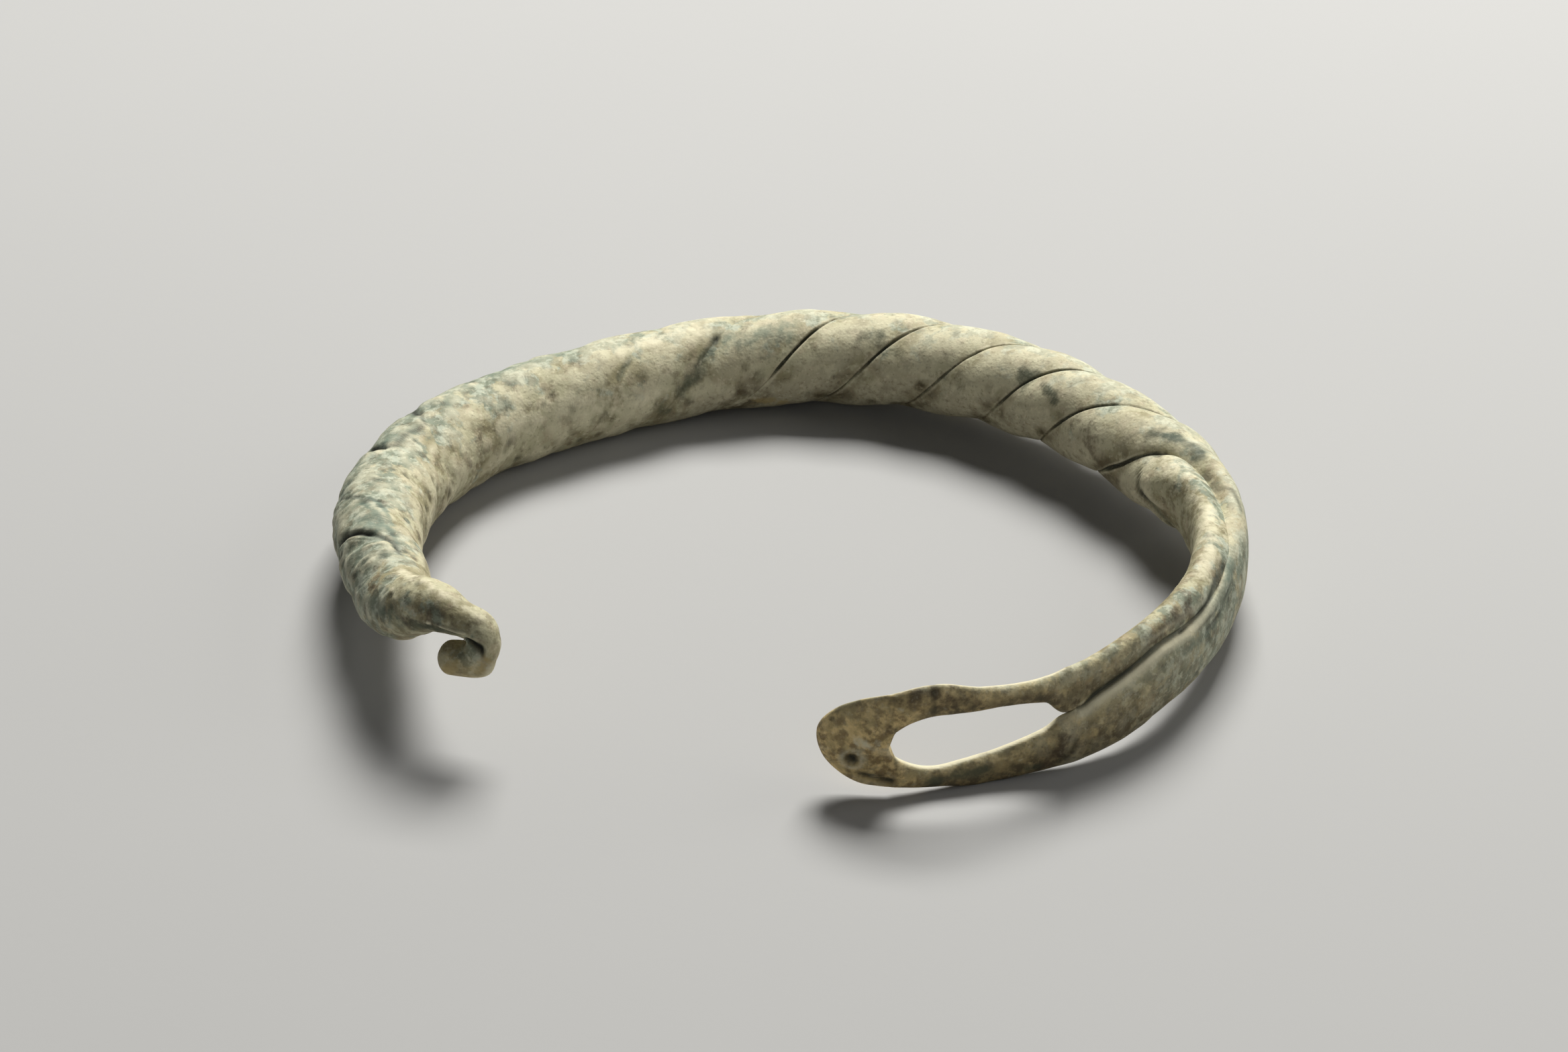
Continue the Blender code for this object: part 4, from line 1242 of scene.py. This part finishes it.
class BraceletStage(bpy.types.PropertyGroup):
    """Floor, lights and camera."""

    floor_colour: colour_property("Floor", "The paper that the bracelet lies on", (0.44, 0.44, 0.435))
    floor_size: bpy.props.FloatProperty(
        name="Floor size", description="Side of the floor", default=6.0, min=0.5, unit="LENGTH")
    key_power: power_property("Overhead light", "Power of the soft light above and behind", 6.9)
    side_power: power_property("Side light", "Power of the weak light at the right", 0.8)
    fill_power: power_property("Front light", "Power of the weak light at the front", 0.42)
    lens: bpy.props.FloatProperty(
        name="Lens", description="Focal length of the camera",
        default=100.0, min=10.0, subtype="DISTANCE_CAMERA")
    elevation: bpy.props.FloatProperty(
        name="Elevation", description="How far the camera looks down",
        default=math.radians(33.0), subtype="ANGLE")
    distance: bpy.props.FloatProperty(
        name="Distance", description="From the camera to what it looks at",
        default=0.3425, min=0.05, unit="LENGTH")
    aim: bpy.props.FloatVectorProperty(
        name="Aim", description="What the camera looks at",
        default=(-0.00037, 0.00665, -0.00009), subtype="XYZ", unit="LENGTH")


# --- Operators ------------------------------------------------------------------

class BRACELET_OT_rod(bpy.types.Operator):
    """Makes the bracelet's fine surface and its patina in place of the plain solid"""

    bl_idname = "bracelet.rod"
    bl_label = "Bracelet"
    bl_options = {"REGISTER", "UNDO"}

    def execute(self, context):
        grid, finish = weathered_grid()
        mesh = bpy.data.meshes.new("twisted_bracelet")
        mesh.vertices.add(len(grid.points))
        mesh.vertices.foreach_set("co", (grid.points * MM).astype(np.float32).ravel())
        count = len(grid.faces)
        mesh.loops.add(count * 3)
        mesh.loops.foreach_set("vertex_index", grid.faces.astype(np.int32).ravel())
        mesh.polygons.add(count)
        mesh.polygons.foreach_set("loop_start", np.arange(0, count * 3, 3, dtype=np.int32))
        mesh.polygons.foreach_set("loop_total", np.full(count, 3, dtype=np.int32))
        mesh.update(calc_edges=True)
        if mesh.validate():
            raise RuntimeError("the bracelet's mesh had faults")
        mesh.shade_smooth()
        masks = dict(finish.colour)
        masks.update(regions(grid))
        for name, values in masks.items():
            attribute = mesh.attributes.new(name, "FLOAT", "POINT")
            attribute.data.foreach_set("value", values.astype(np.float32))
        piece = bpy.data.objects.new("twisted_bracelet", mesh)
        context.scene.collection.objects.link(piece)
        grain, spots = grain_group(), spots_group()
        mesh.materials.append(patina_material(context.scene.bracelet_patina, grain, spots))
        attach(piece, "root")
        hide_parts("bracelet")
        return {"FINISHED"}


def regions(grid):
    """Masks of the green crust, the olive bronze, the painted shade on faces that look down, and the painted
    highlight on the upper edges.
    """
    _, out, _ = axes(np.clip(grid.along, 0, LENGTH))
    normal = grid.normals()
    facing_out = (normal * out).sum(axis=1)
    up = normal[:, 2]
    body = grid.part == Grid.BODY

    left = rise(grid.along, *GREEN_SIDE)
    hook = rise(grid.along, *BROWN_HOOK)
    green = 0.36 + (0.24 + 0.16 * left) * facing_out + 0.24 * left + 0.12 * up - 0.55 * hook

    shown = 1 - 0.6 * np.clip(up, 0, 1)
    olive = (1 - rise(grid.along, *OLIVE_EYE)) * shown
    olive = np.maximum(olive, 0.40 * rise(grid.along, *OLIVE_CURL) * shown)

    # Painted shade: faces that look down are darkened, by how far they look down and by distance from the
    # tip.
    low = rise(up, 0.45, -0.55) * steady(*zip(*SHADE_BELOW), grid.along)

    # Painted highlight, pale, along the bars' upper edges, which are also rubbed pale, and along the edge
    # beside the slot's far end.
    bar = ~body * (1 - rise(grid.along, *RIM_HIGHLIGHT))
    wider = 0.32 * (grid.part == Grid.LOWER)
    rim = ease((0.75 * up - 0.5 * np.maximum(facing_out, -0.3) - 0.60 + wider) / 0.3) * bar
    ledge_highlight = bell(grid.seam[:, 0] - 0.5, 0.45) * ease(up / 0.3) * (1 - rise(grid.along, *LEDGE_HIGHLIGHT))
    rim = np.maximum(rim, ledge_highlight * body)
    return {
        "greenness": np.clip(green, 0.05, 0.9),
        "oliveness": olive,
        "painted_shade_below": np.clip(low, 0, 1),
        "rim": rim,
    }


class BRACELET_OT_stage(bpy.types.Operator):
    """Makes the pale floor, the soft lights and the camera"""

    bl_idname = "bracelet.stage"
    bl_label = "Stage"
    bl_options = {"REGISTER", "UNDO"}

    def execute(self, context):
        stage = context.scene.bracelet_stage
        floor(stage)
        lights(stage)
        camera(stage)
        return {"FINISHED"}


def floor(stage):
    """A flat square of paper under the bracelet."""
    half = stage.floor_size / 2
    corners = [(-half, -half, 0), (half, -half, 0), (half, half, 0), (-half, half, 0)]
    mesh = bpy.data.meshes.new("paper_floor")
    mesh.from_pydata(corners, [], [(0, 1, 2, 3)])
    mesh.materials.append(floor_material(tuple(stage.floor_colour), bpy.data.node_groups["fine_grain"]))
    paper = bpy.data.objects.new("paper_floor", mesh)
    bpy.context.scene.collection.objects.link(paper)


def area_light(name, place, size, power, colour):
    """A square lamp of that size, turned towards the bracelet's middle."""
    data = bpy.data.lights.new(name, "AREA")
    data.size = size
    data.energy = power
    data.color = colour
    lamp = bpy.data.objects.new(name, data)
    lamp.location = place
    lamp.rotation_mode = "QUATERNION"
    lamp.rotation_quaternion = (-Vector(place)).to_track_quat("-Z", "Y")
    bpy.context.scene.collection.objects.link(lamp)


def lights(stage):
    """A soft light above and behind, weak ones at the right and in front, and a dim even room."""
    lamps = (
        ("overhead_softbox", (0.08, 0.38, 0.52), 0.30, stage.key_power, (1.0, 0.985, 0.95)),
        ("side_softbox", (0.52, 0.02, 0.26), 0.40, stage.side_power, (1.0, 0.99, 0.96)),
        ("front_fill", (-0.10, -0.70, 0.35), 0.60, stage.fill_power, (0.95, 0.98, 1.0)),
    )
    for lamp in lamps:
        area_light(*lamp)
    world = bpy.data.worlds.new("studio")
    world.use_nodes = True
    background = world.node_tree.nodes["Background"]
    background.inputs["Color"].default_value = (0.80, 0.80, 0.79, 1.0)
    background.inputs["Strength"].default_value = 0.045
    bpy.context.scene.world = world


def camera(stage):
    """A long lens looking down at the opening from the front."""
    data = bpy.data.cameras.new("camera")
    data.lens = stage.lens
    data.sensor_width = 36.0
    made = bpy.data.objects.new("camera", data)
    down = stage.elevation
    x, y, z = stage.aim
    made.location = (x, y - stage.distance * math.cos(down), z + stage.distance * math.sin(down))
    made.rotation_euler = (math.pi / 2 - down, 0.0, 0.0)
    bpy.context.scene.collection.objects.link(made)
    bpy.context.scene.camera = made
    bpy.context.scene.view_settings.view_transform = "Standard"


class BRACELET_PT_panel(bpy.types.Panel):
    """The bracelet's settings and its two steps"""

    bl_idname = "BRACELET_PT_panel"
    bl_label = "Bracelet"
    bl_space_type = "VIEW_3D"
    bl_region_type = "UI"
    bl_category = "Bracelet"

    def draw(self, context):
        layout = self.layout
        layout.operator(BRACELET_OT_rod.bl_idname)
        layout.operator(BRACELET_OT_stage.bl_idname)
        for settings in (context.scene.bracelet_patina, context.scene.bracelet_stage):
            column = layout.column()
            for name in settings.__annotations__:
                column.prop(settings, name)


CLASSES = (BraceletPatina, BraceletStage, BRACELET_OT_rod, BRACELET_OT_stage, BRACELET_PT_panel)


def register():
    for cls in CLASSES:
        bpy.utils.register_class(cls)
    bpy.types.Scene.bracelet_patina = bpy.props.PointerProperty(type=BraceletPatina)
    bpy.types.Scene.bracelet_stage = bpy.props.PointerProperty(type=BraceletStage)


def unregister():
    del bpy.types.Scene.bracelet_patina
    del bpy.types.Scene.bracelet_stage
    for cls in reversed(CLASSES):
        bpy.utils.unregister_class(cls)


def main():
    register()
    bpy.ops.bracelet.rod()
    bpy.ops.bracelet.stage()


if __name__ == "__main__":
    main()
